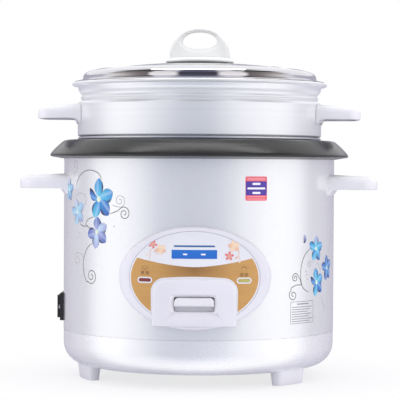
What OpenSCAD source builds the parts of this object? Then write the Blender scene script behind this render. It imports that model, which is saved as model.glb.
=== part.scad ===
// Drum rice cooker with a lift-out pot, a stacked steamer and a glass lid.
// Z is up, the feet stand on z = 0, the drum's axis is x = y = 0, the panel faces -Y.

/* [Drum] */
// Outer radius of the painted drum
body_r = 134.5; // [134:0.1:135]
// Thickness of the painted steel
shell_t = 0.8; // [0.6:0.1:0.8]
// Height of the seam between the base bowl and the drum
seam_z = 47; // [46:0.5:48]
// Height of the top of the dark collar
collar_z = 234; // [233.8:0.1:234.1]
// How far the collar stands out past the drum
collar_reach = 13.8; // [12:0.2:14]

/* [Base and feet] */
// Clearance under the base bowl
foot_h = 12.5; // [12:0.5:13]
// Radius of the base bowl's lower edge
bowl_round = 21.5; // [20:0.5:22]
// Angle that each foot covers between its round ends
foot_arc = 15; // [12:1:24]

/* [Side handles] */
// How far a side handle reaches past the drum
handle_reach = 42.1; // [38:0.1:44]
// Height of a side handle's lower edge
handle_z = 186; // [184:0.5:190]

/* [Panel] */
// Half width of the oval panel
panel_a = 71.3; // [70:0.1:72]
// Half height of the oval panel
panel_b = 48.1; // [47.5:0.1:48.5]
// Height of the panel's centre
panel_z = 104.8; // [104.5:0.1:105]

/* [Cooking] */
// Height of the heating plate's top
plate_z = 90; // [89.5:0.1:90]
// Tilt of the switch lever from keep-warm to cook
lever_tilt = 3.4; // [0:0.1:3.4]

/* [Steamer and lid] */
// Height of the steamer's outer wall
steamer_h = 53; // [52.9:0.1:53.1]
// Height of the knob's loop above its flange
knob_h = 32.3; // [30:0.5:36]
// Half width of the knob's loop
knob_w = 30; // [28:0.5:31]

/* [Hidden] */
$fn = 96;

// Drum
shell_bottom = seam_z + 0.2;
shell_top = collar_z - 16;
bowl_r = body_r - 0.2;
bowl_t = 2.4;
bowl_cz = foot_h + bowl_round;
lip_r = body_r - shell_t - 0.1;
cover_t = 1.6;
flange_r = 84;
liner_r = body_r - 13.7;
liner_t = 0.8;
liner_z = plate_z - 16;
liner_top = collar_z - 5.3;
tip_r = body_r + collar_reach;

// Three fixings around the base, clear of the switch lever
post_r = 92;
post_angles = [90, 210, 330];
foot_angles = [-159, -39, 81];
foot_r = 113.9;
foot_half = 5.2;
foot_half_top = 7.5;
foot_top = 17;
plate_boss_r = 85;
plate_boss_angles = [30, 150, 270];
terminal_r = 68;
thermostat_place = [38, 22, 0];
terminal_angles = [70, 110];
screw_r = 2;

// Side handles
handle_tip = body_r + handle_reach;
handle_screw_z = handle_z + 7;
handle_screw_angle = 13;

// Switch lever: its pivot is in front of the axis and below the liner
pivot_y = -72;
pivot_z = 58;
pin_r = 2;
arm_w = 6;
arm_t = 1.5;

// Panel and switch window, which leaves room below the paddle for the lever's tilt
bezel_r = body_r + 5;
recess_r = bezel_r - 1.1;
film_r = recess_r + 0.6;
film_a = panel_a - 10.5;
film_b = panel_b - 4.5;
surround_r = body_r + 6.5;
surround_w = 39.1;
surround_top = panel_z + 0.4;
surround_round = 12;
paddle_w = 18.4;
paddle_z0 = 78.4;
paddle_z1 = 87;
window_w = paddle_w + 2.8;
window_z0 = paddle_z0 - (surround_r + pivot_y) * sin(lever_tilt) - 0.7;
window_z1 = paddle_z1 + 3;
lens_x = 46;
lens_z = 102.8;
lens_l = 5.8;
lens_r = 1.6;

// Inlet on the -X side
inlet_z = 68;
inlet_w = 13;
inlet_tip = body_r + 5.7;
inlet_screw_y = 14.8;

// Thermostat column on the axis
cap_r = 17.5;
cap_top = plate_z - 0.1;
sleeve_r = 18.9;
sleeve_t = 1;
sleeve_z = plate_z - 24;
ferrite_z = plate_z - 5.5;
magnet_r = 13;
magnet_top = plate_z - 11.2;
rod_end = pivot_z - 3.6;

// Pot, steamer and lid
pot_r = body_r - 18.5;
pot_t = 1.5;
pot_z = plate_z + 0.2;
pot_rim_z = collar_z + 0.3;
pot_rim_r = body_r - 13.5;
rim_h = 2.6;
steamer_r = body_r - 13.2;
steamer_t = 0.9;
steamer_z = pot_rim_z + rim_h + 0.4;
steamer_top = steamer_z + steamer_h;
steamer_rim_r = body_r - 7.5;
steamer_handle_tip = body_r + 25.3;
steamer_handle_z = steamer_z + 17.4;
rivet_angle = 11.5;
lid_z = steamer_top + 0.3;
lid_r = body_r - 18;
glass_top = lid_z + 20.2;
glass_t = 4;
glass_r = 106;
dome_R = 629;
vent_x = 78;
knob_base_r = 34;
knob_base_t = 3.3;
knob_z = glass_top + 0.1;
knob_loop_z = knob_z + knob_base_t;

// --- Geometry helpers ---

function arc(cx, cy, r, a0, a1, n = 8) =
    [for (i = [0:n]) let (a = a0 + (a1 - a0) * i / n) [cx + r * cos(a), cy + r * sin(a)]];
function bezier(a, b, c, n = 10) =
    [for (i = [0:n]) let (t = i / n) (1 - t) * (1 - t) * a + 2 * t * (1 - t) * b + t * t * c];
function ellipse(a, b, n = 64) =
    [for (i = [0:n - 1]) [a * cos(360 * i / n), b * sin(360 * i / n)]];
function reversed(p) = [for (i = [len(p) - 1:-1:0]) p[i]];

// A bent sheet's cross-section: the path, and the same path moved t to its left.
function left_of(a, b) = let (d = (b - a) / norm(b - a)) [-d[1], d[0]];
function moved(p, i, t) =
    let (
        before = left_of(p[max(i - 1, 0)], p[max(i, 1)]),
        after = left_of(p[min(i, len(p) - 2)], p[min(i + 1, len(p) - 1)])
    ) p[i] + t * (before + after) / (1 + before * after);
function sheet(p, t) = concat(p, reversed([for (i = [0:len(p) - 1]) moved(p, i, t)]));

module revolve(points) {
    rotate_extrude() polygon(points);
}

module tube(outer, inner, z0, z1) {
    translate([0, 0, z0]) difference() {
        cylinder(r = outer, h = z1 - z0);
        translate([0, 0, -1]) cylinder(r = inner, h = z1 - z0 + 2);
    }
}

module column(r, z0, z1) {
    translate([0, 0, z0]) cylinder(r = r, h = z1 - z0);
}

// A box from its lowest and highest corners.
module block(low, high) {
    translate(low) cube(high - low);
}

// A radial pin: from radius r0 to r1, at an angle and a height.
module radial(angle, z, r, r0, r1) {
    rotate([0, 0, angle]) translate([r0, 0, z]) rotate([0, 90, 0]) cylinder(r = r, h = r1 - r0, $fn = 32);
}

// An outline in x and z, pushed out through the front of the drum.
module front(points) {
    rotate([90, 0, 0]) linear_extrude(height = 160) polygon(points);
}

module front_oval(a, b, z) {
    translate([0, 0, z]) front(ellipse(a, b));
}

// --- Drum ---

module outer_shell() {
    color("#e6ebf3") difference() {
        tube(body_r, body_r - shell_t, shell_bottom, shell_top);
        front_oval(62, 40, panel_z);
        block([-body_r - 5, -inlet_w, inlet_z - 11.4], [-100, inlet_w, inlet_z + 11.4]);
        for (side = [0, 180], a = [-handle_screw_angle, handle_screw_angle])
            radial(side + a, handle_screw_z, screw_r + 0.2, 120, 145);
        for (y = [-inlet_screw_y, inlet_screw_y])
            translate([-145, y, inlet_z]) rotate([0, 90, 0]) cylinder(r = 1.7, h = 30, $fn = 32);
    }
}

bowl_path = concat(
    [[flange_r, foot_h]],
    arc(bowl_r - bowl_round, bowl_cz, bowl_round, -90, 0, 12),
    [[bowl_r, seam_z - 0.3]]
);

module base_bowl() {
    color("#dcdce6") difference() {
        union() {
            revolve(sheet(bowl_path, bowl_t));
            tube(lip_r, lip_r - bowl_t, seam_z - 6, seam_z + 8);
        }
        for (a = post_angles)
            rotate([0, 0, a]) translate([post_r, 0, 0]) column(screw_r + 0.2, 0, foot_h + 5);
    }
}

module bottom_cover() {
    slots = 12;
    color("#cfd0d6") difference() {
        column(98, foot_h - cover_t, foot_h);
        for (i = [0:slots - 1])
            rotate([0, 0, 15 + i * 360 / slots]) block([34, -2, 0], [70, 2, foot_h + 1]);
        for (a = post_angles)
            rotate([0, 0, a]) translate([post_r, 0, 0]) column(screw_r + 0.2, 0, foot_h + 1);
    }
}

// A short curved leg with round ends, wider at its top.
module leg() {
    section = [
        [foot_r - foot_half, 0], [foot_r + foot_half, 0],
        [foot_r + foot_half_top, foot_top], [foot_r - foot_half_top, foot_top]
    ];
    rotate([0, 0, -foot_arc / 2]) rotate_extrude(angle = foot_arc) polygon(section);
    for (end = [-foot_arc / 2, foot_arc / 2])
        rotate([0, 0, end]) translate([foot_r, 0, 0])
            cylinder(r1 = foot_half, r2 = foot_half_top, h = foot_top);
}

module feet() {
    bowl_solid = concat(bowl_path, [[0, seam_z], [0, foot_h]]);
    color("#e9e9ee") difference() {
        for (a = foot_angles)
            rotate([0, 0, a]) leg();
        revolve(bowl_solid);
    }
}

module collar_ring() {
    skirt_r = lip_r - 0.1;
    profile = concat(
        [
            [pot_r + 2.5, liner_top + liner_t],
            [liner_r + 9.2, liner_top + liner_t],
            [skirt_r - 2.6, shell_top - 12],
            [skirt_r, shell_top - 12],
            [skirt_r, shell_top],
            [body_r + 0.2, shell_top],
            [body_r + 0.2, shell_top - 2.8]
        ],
        arc(tip_r - 1.6, shell_top + 0.8, 1.6, -95, 0, 5),
        bezier([tip_r, collar_z - 14.6], [tip_r - 0.65, collar_z - 12.9], [tip_r - 5.9, collar_z - 7.6], 6),
        [[tip_r - 9.2, collar_z - 4.5]],
        bezier([tip_r - 12.3, collar_z - 1.9], [tip_r - 14.5, collar_z], [body_r - 8.5, collar_z], 6),
        [[pot_r + 3.2, collar_z], [pot_r + 2.5, collar_z - 0.7]]
    );
    color("#3a3a3e") revolve(profile);
}

module inner_liner() {
    path = concat(
        [[32, liner_z]],
        arc(liner_r - 6, liner_z + 6, 6, -90, 0, 6),
        [[liner_r, liner_top], [liner_r + 8.2, liner_top]]
    );
    color("#c9ccd0") difference() {
        revolve(sheet(path, liner_t));
        for (a = post_angles)
            rotate([0, 0, a]) translate([post_r, 0, 0]) column(screw_r + 0.2, liner_z - 1, liner_z + 2);
        for (a = plate_boss_angles)
            rotate([0, 0, a]) translate([plate_boss_r, 0, 0]) column(screw_r + 0.2, liner_z - 1, liner_z + 2);
        for (a = terminal_angles)
            rotate([0, 0, a]) translate([terminal_r, 0, 0]) column(5.5, liner_z - 1, liner_z + 2);
        translate(thermostat_place) column(9.5, liner_z - 1, liner_z + 2);
    }
}

module liner_posts() {
    color("#b8bcc2") difference() {
        for (a = post_angles)
            rotate([0, 0, a]) translate([post_r, 0, 0]) column(4, foot_h + bowl_t, liner_z);
        for (a = post_angles)
            rotate([0, 0, a]) translate([post_r, 0, 0]) {
                column(screw_r, foot_h, foot_h + 18);
                column(screw_r, liner_z - 12, liner_z + 1);
            }
    }
}

module base_screws() {
    color("#a9adb3") for (a = post_angles)
        rotate([0, 0, a]) translate([post_r, 0, 0]) {
            column(screw_r, foot_h - cover_t - 0.5, foot_h + 16);
            column(4, foot_h - cover_t - 2, foot_h - cover_t);
        }
}

module liner_screws() {
    color("#a9adb3") for (a = post_angles)
        rotate([0, 0, a]) translate([post_r, 0, 0]) {
            column(screw_r, liner_z - 10, liner_z + 1.5);
            column(3.8, liner_z + liner_t, liner_z + liner_t + 1.8);
        }
}

// --- Side handles ---

// An ear-shaped grip that reaches out along +X: its plan, and its side view.
function ear_plan(x0, x1, w0, w1, r) = concat(
    [[x0, -w0]], arc(x1 - r, -(w1 - r), r, -80, 0), arc(x1 - r, w1 - r, r, 0, 80), [[x0, w0]]
);
function ear_side(x0, x1, z0, top0, top1, nose) = concat(
    [[x0, z0], [x1 - 1.6, z0], [x1, z0 + 2]],
    arc(x1 - nose, top1 - nose, nose, 5, 82),
    [[x0, top0]]
);

module ear(x0, x1, w0, w1, r, z0, top0, top1, nose) {
    intersection() {
        linear_extrude(height = 400) polygon(ear_plan(x0, x1, w0, w1, r));
        rotate([90, 0, 0]) translate([0, 0, -100]) linear_extrude(height = 200)
            polygon(ear_side(x0, x1, z0, top0, top1, nose));
    }
}

module body_handle() {
    top = handle_z + 14.3;
    wall = 4;
    difference() {
        union() {
            difference() {
                ear(body_r - 12, handle_tip, 47, 42, 18, handle_z, top, top - 2.2, 8);
                ear(body_r + 4, handle_tip - wall, 43, 38, 14,
                    handle_z - 5, top - wall, top - wall - 2.2, 5);
            }
            for (a = [-handle_screw_angle, handle_screw_angle])
                radial(a, handle_screw_z, 4.6, body_r - 2, body_r + 14);
        }
        column(body_r, 0, 300);
        for (a = [-handle_screw_angle, handle_screw_angle])
            radial(a, handle_screw_z, screw_r, body_r - 5, body_r + 12);
    }
}

module body_handle_right() {
    color("#eceaf3") body_handle();
}

module body_handle_left() {
    color("#eceaf3") mirror([1, 0, 0]) body_handle();
}

module handle_screws() {
    head_r = body_r - shell_t - 0.1;
    color("#a9adb3") for (side = [0, 180], a = [-handle_screw_angle, handle_screw_angle]) {
        radial(side + a, handle_screw_z, screw_r, head_r - 1, body_r + 10);
        radial(side + a, handle_screw_z, 3.8, head_r - 2.2, head_r);
    }
}

// --- Panel ---

// The switch housing's outline: an arch, wide at the bottom.
arch = concat(
    [[-surround_w, panel_z - 60], [surround_w, panel_z - 60]],
    arc(surround_w - surround_round, surround_top - surround_round, surround_round, 0, 90),
    arc(-surround_w + surround_round, surround_top - surround_round, surround_round, 90, 180)
);
throat = [[-33, 65], [33, 65], [33, 100], [-33, 100]];

module lens_hole(x, grow) {
    translate([x, 0, lens_z]) for (dx = [-lens_l, lens_l] * 0.7)
        translate([dx, 0, 0]) rotate([90, 0, 0]) cylinder(r = lens_r + grow, h = 160, $fn = 32);
    block([x - lens_l * 0.7, -160, lens_z - lens_r - grow], [x + lens_l * 0.7, 0, lens_z + lens_r + grow]);
}

module panel_bezel() {
    color("#e4e4f0") difference() {
        union() {
            intersection() {
                tube(bezel_r - 1.8, body_r, 0, 200);
                front_oval(panel_a, panel_b, panel_z);
            }
            intersection() {
                tube(bezel_r, body_r + 1, 0, 200);
                front_oval(panel_a - 1.6, panel_b - 1.6, panel_z);
            }
        }
        intersection() {
            tube(bezel_r + 5, recess_r, 0, 200);
            front_oval(film_a, film_b, panel_z);
        }
        intersection() {
            front(throat);
            front_oval(film_a, film_b - 2, panel_z);
        }
        for (x = [-lens_x, lens_x])
            lens_hole(x, 0.2);
    }
}

module panel_film() {
    color("#d8a868") difference() {
        intersection() {
            tube(film_r, recess_r, 0, 200);
            front_oval(film_a - 0.4, film_b - 0.4, panel_z);
        }
        front(arch);
        for (x = [-lens_x, lens_x])
            lens_hole(x, 0.2);
    }
}

module switch_surround() {
    plug = [for (p = throat) [p[0] - sign(p[0]) * 0.3, p[1] + (p[1] < 80 ? 0.3 : -0.3)]];
    pocket_y = -surround_r + 5;
    color("#e2e2ef") difference() {
        union() {
            intersection() {
                front(arch);
                front_oval(film_a, film_b - 0.5, panel_z);
                tube(surround_r, recess_r, 0, 200);
            }
            intersection() {
                front(plug);
                front_oval(film_a, film_b - 2.5, panel_z);
                tube(surround_r - 1, body_r + 0.5, 0, 200);
            }
            block([-window_w - 2.6, -body_r - 2, 70.8], [window_w + 2.6, -129, window_z1 + 2.6]);
        }
        block([-window_w, -160, window_z0], [window_w, -100, window_z1]);
        rotate([90, 0, 90]) translate([0, 0, -26]) linear_extrude(height = 52)
            polygon([
                [-160, 66], [-surround_r, 66], [pocket_y, window_z0],
                [pocket_y, window_z0 + 2], [-160, window_z0 + 2]
            ]);
    }
}

module lens(x) {
    intersection() {
        lens_hole(x, 0);
        tube(film_r + 0.5, body_r + 0.4, 0, 200);
    }
}

module cook_lens() {
    color("#b01828") lens(-lens_x);
}

module warm_lens() {
    color("#a8a23c") lens(lens_x);
}

lamp_y = -121;

module lamp_holder() {
    color("#f0f0ee") difference() {
        intersection() {
            union() {
                for (s = [-1, 1])
                    block([s * lens_x - 8, -140, lens_z - 5], [s * lens_x + 8, lamp_y + 5, lens_z + 5]);
                block([-lens_x, -127, lens_z - 5], [lens_x, -125, lens_z + 5]);
            }
            column(body_r - 0.1, 0, 200);
        }
        for (s = [-1, 1])
            block([s * lens_x - 6.4, -150, lens_z - 3.4], [s * lens_x + 6.4, lamp_y + 3.4, lens_z + 3.4]);
    }
}

module indicator_lamps() {
    color("#ffb070") for (s = [-1, 1])
        translate([s * lens_x - 6.4, lamp_y, lens_z])
            rotate([0, 90, 0]) cylinder(r = 2.4, h = 12.8, $fn = 32);
}

// --- Power inlet and wiring ---

module inlet_socket() {
    color("#1c1c1e") difference() {
        union() {
            difference() {
                block([-body_r - 2.6, -17.5, inlet_z - 13.6], [-body_r + 3, 17.5, inlet_z + 13.6]);
                column(body_r, 0, 200);
            }
            block(
                [-inlet_tip, -inlet_w + 0.3, inlet_z - 11.1],
                [-liner_r - 1.5, inlet_w - 0.3, inlet_z + 11.1]
            );
        }
        block([-inlet_tip - 5, -inlet_w + 3, inlet_z - 8.6], [-liner_r - 4.5, inlet_w - 3, inlet_z + 8.6]);
        for (p = inlet_pin_places)
            translate([-160, p[0], p[1]]) rotate([0, 90, 0]) cylinder(r = 1.9, h = 60, $fn = 32);
        for (y = [-inlet_screw_y, inlet_screw_y])
            translate([-160, y, inlet_z]) rotate([0, 90, 0]) cylinder(r = 1.7, h = 40, $fn = 32);
    }
}

inlet_pin_places = [[-5.5, inlet_z - 3], [5.5, inlet_z - 3], [0, inlet_z + 4]];

module inlet_pins() {
    color("#c8b47a") for (p = inlet_pin_places)
        translate([-inlet_tip + 2.5, p[0], p[1]]) rotate([0, 90, 0])
            cylinder(r = 1.9, h = inlet_tip - 2.5 - liner_r - 0.7, $fn = 32);
}

module inlet_screws() {
    color("#a9adb3") for (y = [-inlet_screw_y, inlet_screw_y])
        translate([-body_r - 2.6, y, inlet_z]) rotate([0, 90, 0]) {
            cylinder(r = 1.6, h = 8, $fn = 32);
            translate([0, 0, -1.4]) cylinder(r = 2, h = 1.4, $fn = 32);
        }
}

// A wire runs along points placed by hand, with its corners cut to soft bends.
wire_r = 1.5;
live_to_fuse = [[-116, -5.5, 62], [-112, -5.5, 48], [-84, 6, 44], [-62, 14, 44]];
fuse_to_heater = [[-38, 22, 44], [0, 40, 44], [23.3, 58, 46], [23.3, 63.9, 58]];
neutral_to_switch = [[-116, 5.5, 62], [-110, 10, 52], [-40, -24, 52], [-16, -42, 56], [-12, -50, 64]];

function eased(p) = concat(
    [p[0]],
    [for (i = [0:len(p) - 2], t = [0.25, 0.75]) (1 - t) * p[i] + t * p[i + 1]],
    [p[len(p) - 1]]
);

// A tube of 8 sides along a path: each ring stands square to the path.
module wire(points) {
    sides = 8;
    p = eased(eased(points));
    last = len(p) - 1;
    rings = [for (i = [0:last], s = [0:sides - 1])
        let (
            along = p[min(i + 1, last)] - p[max(i - 1, 0)],
            d = along / norm(along),
            u = cross(d, [0.31, 0.17, 0.93]) / norm(cross(d, [0.31, 0.17, 0.93])),
            v = cross(d, u)
        ) p[i] + wire_r * (cos(360 * s / sides) * u + sin(360 * s / sides) * v)];
    walls = [for (i = [0:last - 1], s = [0:sides - 1]) let (n = (s + 1) % sides)
        [i * sides + s, (i + 1) * sides + s, (i + 1) * sides + n, i * sides + n]];
    cap0 = [for (s = [0:sides - 1]) s];
    cap1 = [for (s = [sides - 1:-1:0]) last * sides + s];
    polyhedron(points = rings, faces = concat(walls, [cap0, cap1]), convexity = 10);
}

module wiring() {
    color("#b8452e") {
        wire(live_to_fuse);
        wire(fuse_to_heater);
        wire(neutral_to_switch);
    }
}

module thermal_fuse() {
    d = fuse_to_heater[0] - live_to_fuse[3];
    color("#d9d4c6") translate(live_to_fuse[3]) rotate([0, 90, atan2(d[1], d[0])])
        cylinder(r = 2.6, h = norm(d), $fn = 32);
}

// --- Heating plate and thermostat ---

module heating_plate() {
    profile = concat(
        [[sleeve_r + 0.3, plate_z - 10], [58, plate_z - 10], [60, plate_z - 13.5]],
        [[76, plate_z - 13.5], [78, plate_z - 10]],
        [[97, plate_z - 10], [98, plate_z - 9]],
        arc(95, plate_z - 3, 3, 0, 90, 5),
        [[sleeve_r + 0.3, plate_z]]
    );
    color("#d4d6d8") difference() {
        union() {
            revolve(profile);
            for (a = plate_boss_angles)
                rotate([0, 0, a]) translate([plate_boss_r, 0, 0]) column(6, liner_z + liner_t, plate_z - 9);
        }
        for (a = plate_boss_angles)
            rotate([0, 0, a]) translate([plate_boss_r, 0, 0]) column(screw_r, liner_z, plate_z - 5);
    }
}

module plate_screws() {
    color("#a9adb3") for (a = plate_boss_angles)
        rotate([0, 0, a]) translate([plate_boss_r, 0, 0]) {
            column(screw_r, liner_z - 1, plate_z - 6);
            column(3.8, liner_z - 1.8, liner_z);
        }
}

module heater_terminals() {
    color("#e8e4da") for (a = terminal_angles)
        rotate([0, 0, a]) translate([terminal_r, 0, 0]) {
            column(3.6, liner_z - 8, plate_z - 13.5);
            column(1.6, liner_z - 14, liner_z - 7);
        }
}

module keep_warm_thermostat() {
    color("#c8c2b4") translate(thermostat_place) {
        column(8.2, liner_z - 5, plate_z - 13.5);
        column(5, plate_z - 14, plate_z - 10);
        for (x = [-4, 4])
            block([x - 0.6, -2.5, liner_z - 12], [x + 0.6, 2.5, liner_z - 4]);
    }
}

module thermostat_sleeve() {
    color("#b8bcc2") {
        tube(sleeve_r, sleeve_r - sleeve_t, sleeve_z, plate_z - 4);
        tube(26, sleeve_r - 0.5, plate_z - 11, plate_z - 10);
        tube(sleeve_r - 0.5, 3, sleeve_z, sleeve_z + 1);
    }
}

module sensor_cap() {
    color("#dfe1e4") {
        tube(cap_r, cap_r - 1, plate_z - 11, cap_top);
        column(cap_r - 0.5, cap_top - 1.5, cap_top);
    }
}

module sensor_ferrite() {
    color("#3c3c40") column(magnet_r, ferrite_z, cap_top - 1.5);
}

// A coil spring: a ring of points carried up a helix.
module spring(mean_r, wire, z0, z1, turns) {
    steps = 12;
    sides = 6;
    rings = turns * steps;
    rise = z1 - z0 - 2 * wire;
    points = [for (k = [0:rings], s = [0:sides - 1])
        let (a = 360 * k / steps, r = mean_r + wire * cos(360 * s / sides))
            [r * cos(a), r * sin(a), z0 + wire + rise * k / rings + wire * sin(360 * s / sides)]];
    walls = [for (k = [0:rings - 1], s = [0:sides - 1]) let (n = (s + 1) % sides)
        [k * sides + s, (k + 1) * sides + s, (k + 1) * sides + n, k * sides + n]];
    cap0 = [for (s = [0:sides - 1]) s];
    cap1 = [for (s = [sides - 1:-1:0]) rings * sides + s];
    polyhedron(points = points, faces = concat(walls, [cap0, cap1]), convexity = 10);
}

module sensor_spring() {
    color("#9aa0a8") spring(15, 0.6, sleeve_z + 1, cap_top - 1.5, 5);
}

module magnet_spring() {
    color("#9aa0a8") spring(9, 0.4, magnet_top, ferrite_z, 3);
}

module magnet() {
    color("#2c2c30") difference() {
        column(magnet_r, magnet_top - 6.2, magnet_top);
        column(screw_r, 0, magnet_top - 2);
    }
}

module magnet_rod() {
    color("#b8bcc2") {
        column(screw_r, rod_end, magnet_top - 2);
        column(4.5, rod_end, rod_end + 1.8);
        column(4.5, pivot_z + 1.8, pivot_z + 2.8);
    }
}

// --- Switch ---

module lever_bracket() {
    color("#b8bcc2") difference() {
        union() {
            block([-16, pivot_y - 6, liner_z - 1.5], [16, pivot_y + 34, liner_z]);
            for (s = [-1, 1])
                translate([s * 8.75, pivot_y, 0]) block([-0.75, -6, pivot_z - 6], [0.75, 6, liner_z - 1]);
        }
        translate([-20, pivot_y, pivot_z]) rotate([0, 90, 0]) cylinder(r = pin_r, h = 40);
    }
}

module lever_pin() {
    color("#9aa0a8") translate([-11, pivot_y, pivot_z]) rotate([0, 90, 0]) cylinder(r = pin_r, h = 22);
}

module lever_arm() {
    back = -125.3;
    color("#b8bcc2") difference() {
        union() {
            block([-arm_w, back, pivot_z - arm_t / 2], [arm_w, 8, pivot_z + arm_t / 2]);
            block([-arm_w, back, pivot_z - arm_t / 2], [arm_w, back + arm_t, paddle_z0 + 4.6]);
            block([-arm_w, -136, paddle_z0 + 3.1], [arm_w, back + 1, paddle_z0 + 4.6]);
            translate([-7, pivot_y, pivot_z]) rotate([0, 90, 0]) cylinder(r = 4, h = 14);
        }
        translate([-20, pivot_y, pivot_z]) rotate([0, 90, 0]) cylinder(r = pin_r + 0.06, h = 40);
        block([-3, -3.5, pivot_z - 2], [3, 10, pivot_z + 2]);
    }
}

module switch_paddle() {
    low = paddle_z0;
    high = paddle_z1;
    edge = 2.6;
    side = concat(
        [[-130, low], [-139.5, low + 0.6]],
        arc(-surround_r + edge, low + 0.6 + edge, edge, 270, 180, 4),
        arc(-surround_r + edge, high - edge, edge, 180, 90, 4),
        [[-130, high]]
    );
    color("#f4f4f8") difference() {
        rotate([90, 0, 90]) translate([0, 0, -paddle_w]) linear_extrude(height = 2 * paddle_w) polygon(side);
        block([-arm_w, -136, low + 3.1], [arm_w, -120, low + 4.6]);
    }
}

module microswitch() {
    color("#26262a") difference() {
        block([-10, pivot_y + 12, pivot_z + 4.5], [10, pivot_y + 32, liner_z - 1.5]);
        translate([0, pivot_y + 22, 0]) column(1.56, pivot_z + 4, pivot_z + 9);
    }
}

module microswitch_button() {
    color("#d8483c") translate([0, pivot_y + 22, 0]) column(1.5, pivot_z + 1.4, pivot_z + 7.4);
}

// --- Pot ---

module inner_pot() {
    floor_r = pot_r - 16;
    outer = concat(
        [[0, pot_z]],
        arc(floor_r, pot_z + 16, 16, -90, 0, 10),
        [[pot_r, pot_rim_z], [pot_rim_r - 0.8, pot_rim_z], [pot_rim_r, pot_rim_z + 0.8]],
        [[pot_rim_r, pot_rim_z + rim_h - 0.8], [pot_rim_r - 0.8, pot_rim_z + rim_h]]
    );
    inner = concat(
        [[pot_r - pot_t, pot_rim_z + rim_h]],
        arc(floor_r, pot_z + 16, 16 - pot_t, 0, -90, 10),
        [[0, pot_z + pot_t]]
    );
    color("#8c8f94") revolve(concat(outer, inner));
}

// --- Steamer ---

module steamer_basket() {
    neck = steamer_r - 4;
    floor_z = steamer_z - 11.4;
    groove_z = steamer_z + 35.4;
    path = concat(
        [[0, floor_z]],
        arc(pot_r - 10, floor_z + 7.5, 7.5, -90, 0, 6),
        [[pot_r - 2.5, steamer_z], [steamer_r - 1, steamer_z + 0.3], [steamer_r, steamer_z + 1.3]],
        bezier([steamer_r, groove_z - 4], [steamer_r, groove_z - 1.4], [neck, groove_z], 4),
        bezier([neck, groove_z + 0.8], [neck + 2.2, groove_z + 2.7], [neck, groove_z + 4.6], 4),
        bezier([neck, groove_z + 6.2], [steamer_r - 0.4, groove_z + 8], [steamer_r, steamer_top - 3.6], 4),
        [[steamer_r + 0.6, steamer_top - 2.9]]
    );
    bead = concat(
        [[steamer_r - 0.3, steamer_top - 3]],
        arc(steamer_rim_r - 1.5, steamer_top - 1.5, 1.5, -90, 90, 6),
        [[steamer_r - 0.3, steamer_top]]
    );
    color("#c4c8ce") difference() {
        union() {
            revolve(sheet(path, steamer_t));
            revolve(bead);
        }
        for (ring = [1:4], i = [0:6 * ring - 1])
            rotate([0, 0, i * 60 / ring + 15 * ring]) translate([21 * ring, 0, 0])
                column(3, floor_z - 2, floor_z + 3);
        for (side = [0, 180], a = [-rivet_angle, rivet_angle])
            radial(side + a, steamer_handle_z + 7, screw_r, 110, 130);
    }
}

module steamer_handle() {
    z0 = steamer_handle_z;
    top = z0 + 14.2;
    wall = 3.6;
    difference() {
        ear(steamer_r - 12, steamer_handle_tip, 40, 34, 15, z0, top, top - 2.4, 8);
        ear(steamer_r + 6, steamer_handle_tip - wall, 36.4, 30.4, 12,
            z0 - 5, top - wall, top - wall - 2.4, 5);
        column(steamer_r + 1.2, 0, 400);
        for (a = [-rivet_angle, rivet_angle])
            radial(a, z0 + 7, screw_r, 110, 140);
    }
}

module steamer_handle_right() {
    color("#eceaf3") steamer_handle();
}

module steamer_handle_left() {
    color("#eceaf3") mirror([1, 0, 0]) steamer_handle();
}

module steamer_brackets() {
    color("#b4b6ba") difference() {
        for (side = [0, 180])
            rotate([0, 0, side]) intersection() {
                tube(steamer_r + 1.2, steamer_r, steamer_handle_z - 4.6, steamer_handle_z + 14.2);
                rotate([90, 0, 90]) linear_extrude(height = 200)
                    polygon([
                        [-32, steamer_handle_z], [-20, steamer_handle_z - 4.6], [20, steamer_handle_z - 4.6],
                        [32, steamer_handle_z], [32, steamer_handle_z + 14.2], [-32, steamer_handle_z + 14.2]
                    ]);
            }
        for (side = [0, 180], a = [-rivet_angle, rivet_angle])
            radial(side + a, steamer_handle_z + 7, screw_r, 110, 130);
    }
}

module steamer_rivets() {
    inside = steamer_r - steamer_t - 0.1;
    color("#a9adb3") for (side = [0, 180], a = [-rivet_angle, rivet_angle]) {
        radial(side + a, steamer_handle_z + 7, screw_r, inside - 0.6, steamer_r + 9);
        radial(side + a, steamer_handle_z + 7, 3.6, inside - 1.4, inside);
    }
}

// --- Lid ---

function dome_z(r, drop) = glass_top - drop - r * r / (2 * dome_R);

module lid_rim() {
    shoulder = concat(
        [[124.3, lid_z + 0.9], [lid_r, lid_z + 2.8]],
        bezier([lid_r - 0.3, lid_z + 5.6], [lid_r - 1, lid_z + 9.6], [lid_r - 6.4, lid_z + 11], 6),
        [[glass_r - 3, dome_z(glass_r - 3, -1.05)]]
    );
    skirt = [[pot_r - 2, lid_z - 6], [pot_r - 2, lid_z + 2.1], [lid_r + 0.4, lid_z + 2.1]];
    color("#c6c8cc") {
        revolve(sheet(shoulder, 0.7));
        revolve(sheet(skirt, -0.7));
    }
}

module lid_gasket() {
    profile = [
        [glass_r - 3, dome_z(glass_r, glass_t) - 1.6],
        [lid_r - 1.6, dome_z(glass_r, glass_t) - 1.6],
        [lid_r - 1.6, lid_z + 6],
        [lid_r - 3.4, lid_z + 8.6],
        [glass_r + 0.2, dome_z(glass_r, 0) - 0.6],
        [glass_r + 0.2, dome_z(glass_r, glass_t)],
        [glass_r - 3, dome_z(glass_r, glass_t)]
    ];
    color("#dcdcd8") revolve(profile);
}

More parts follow.
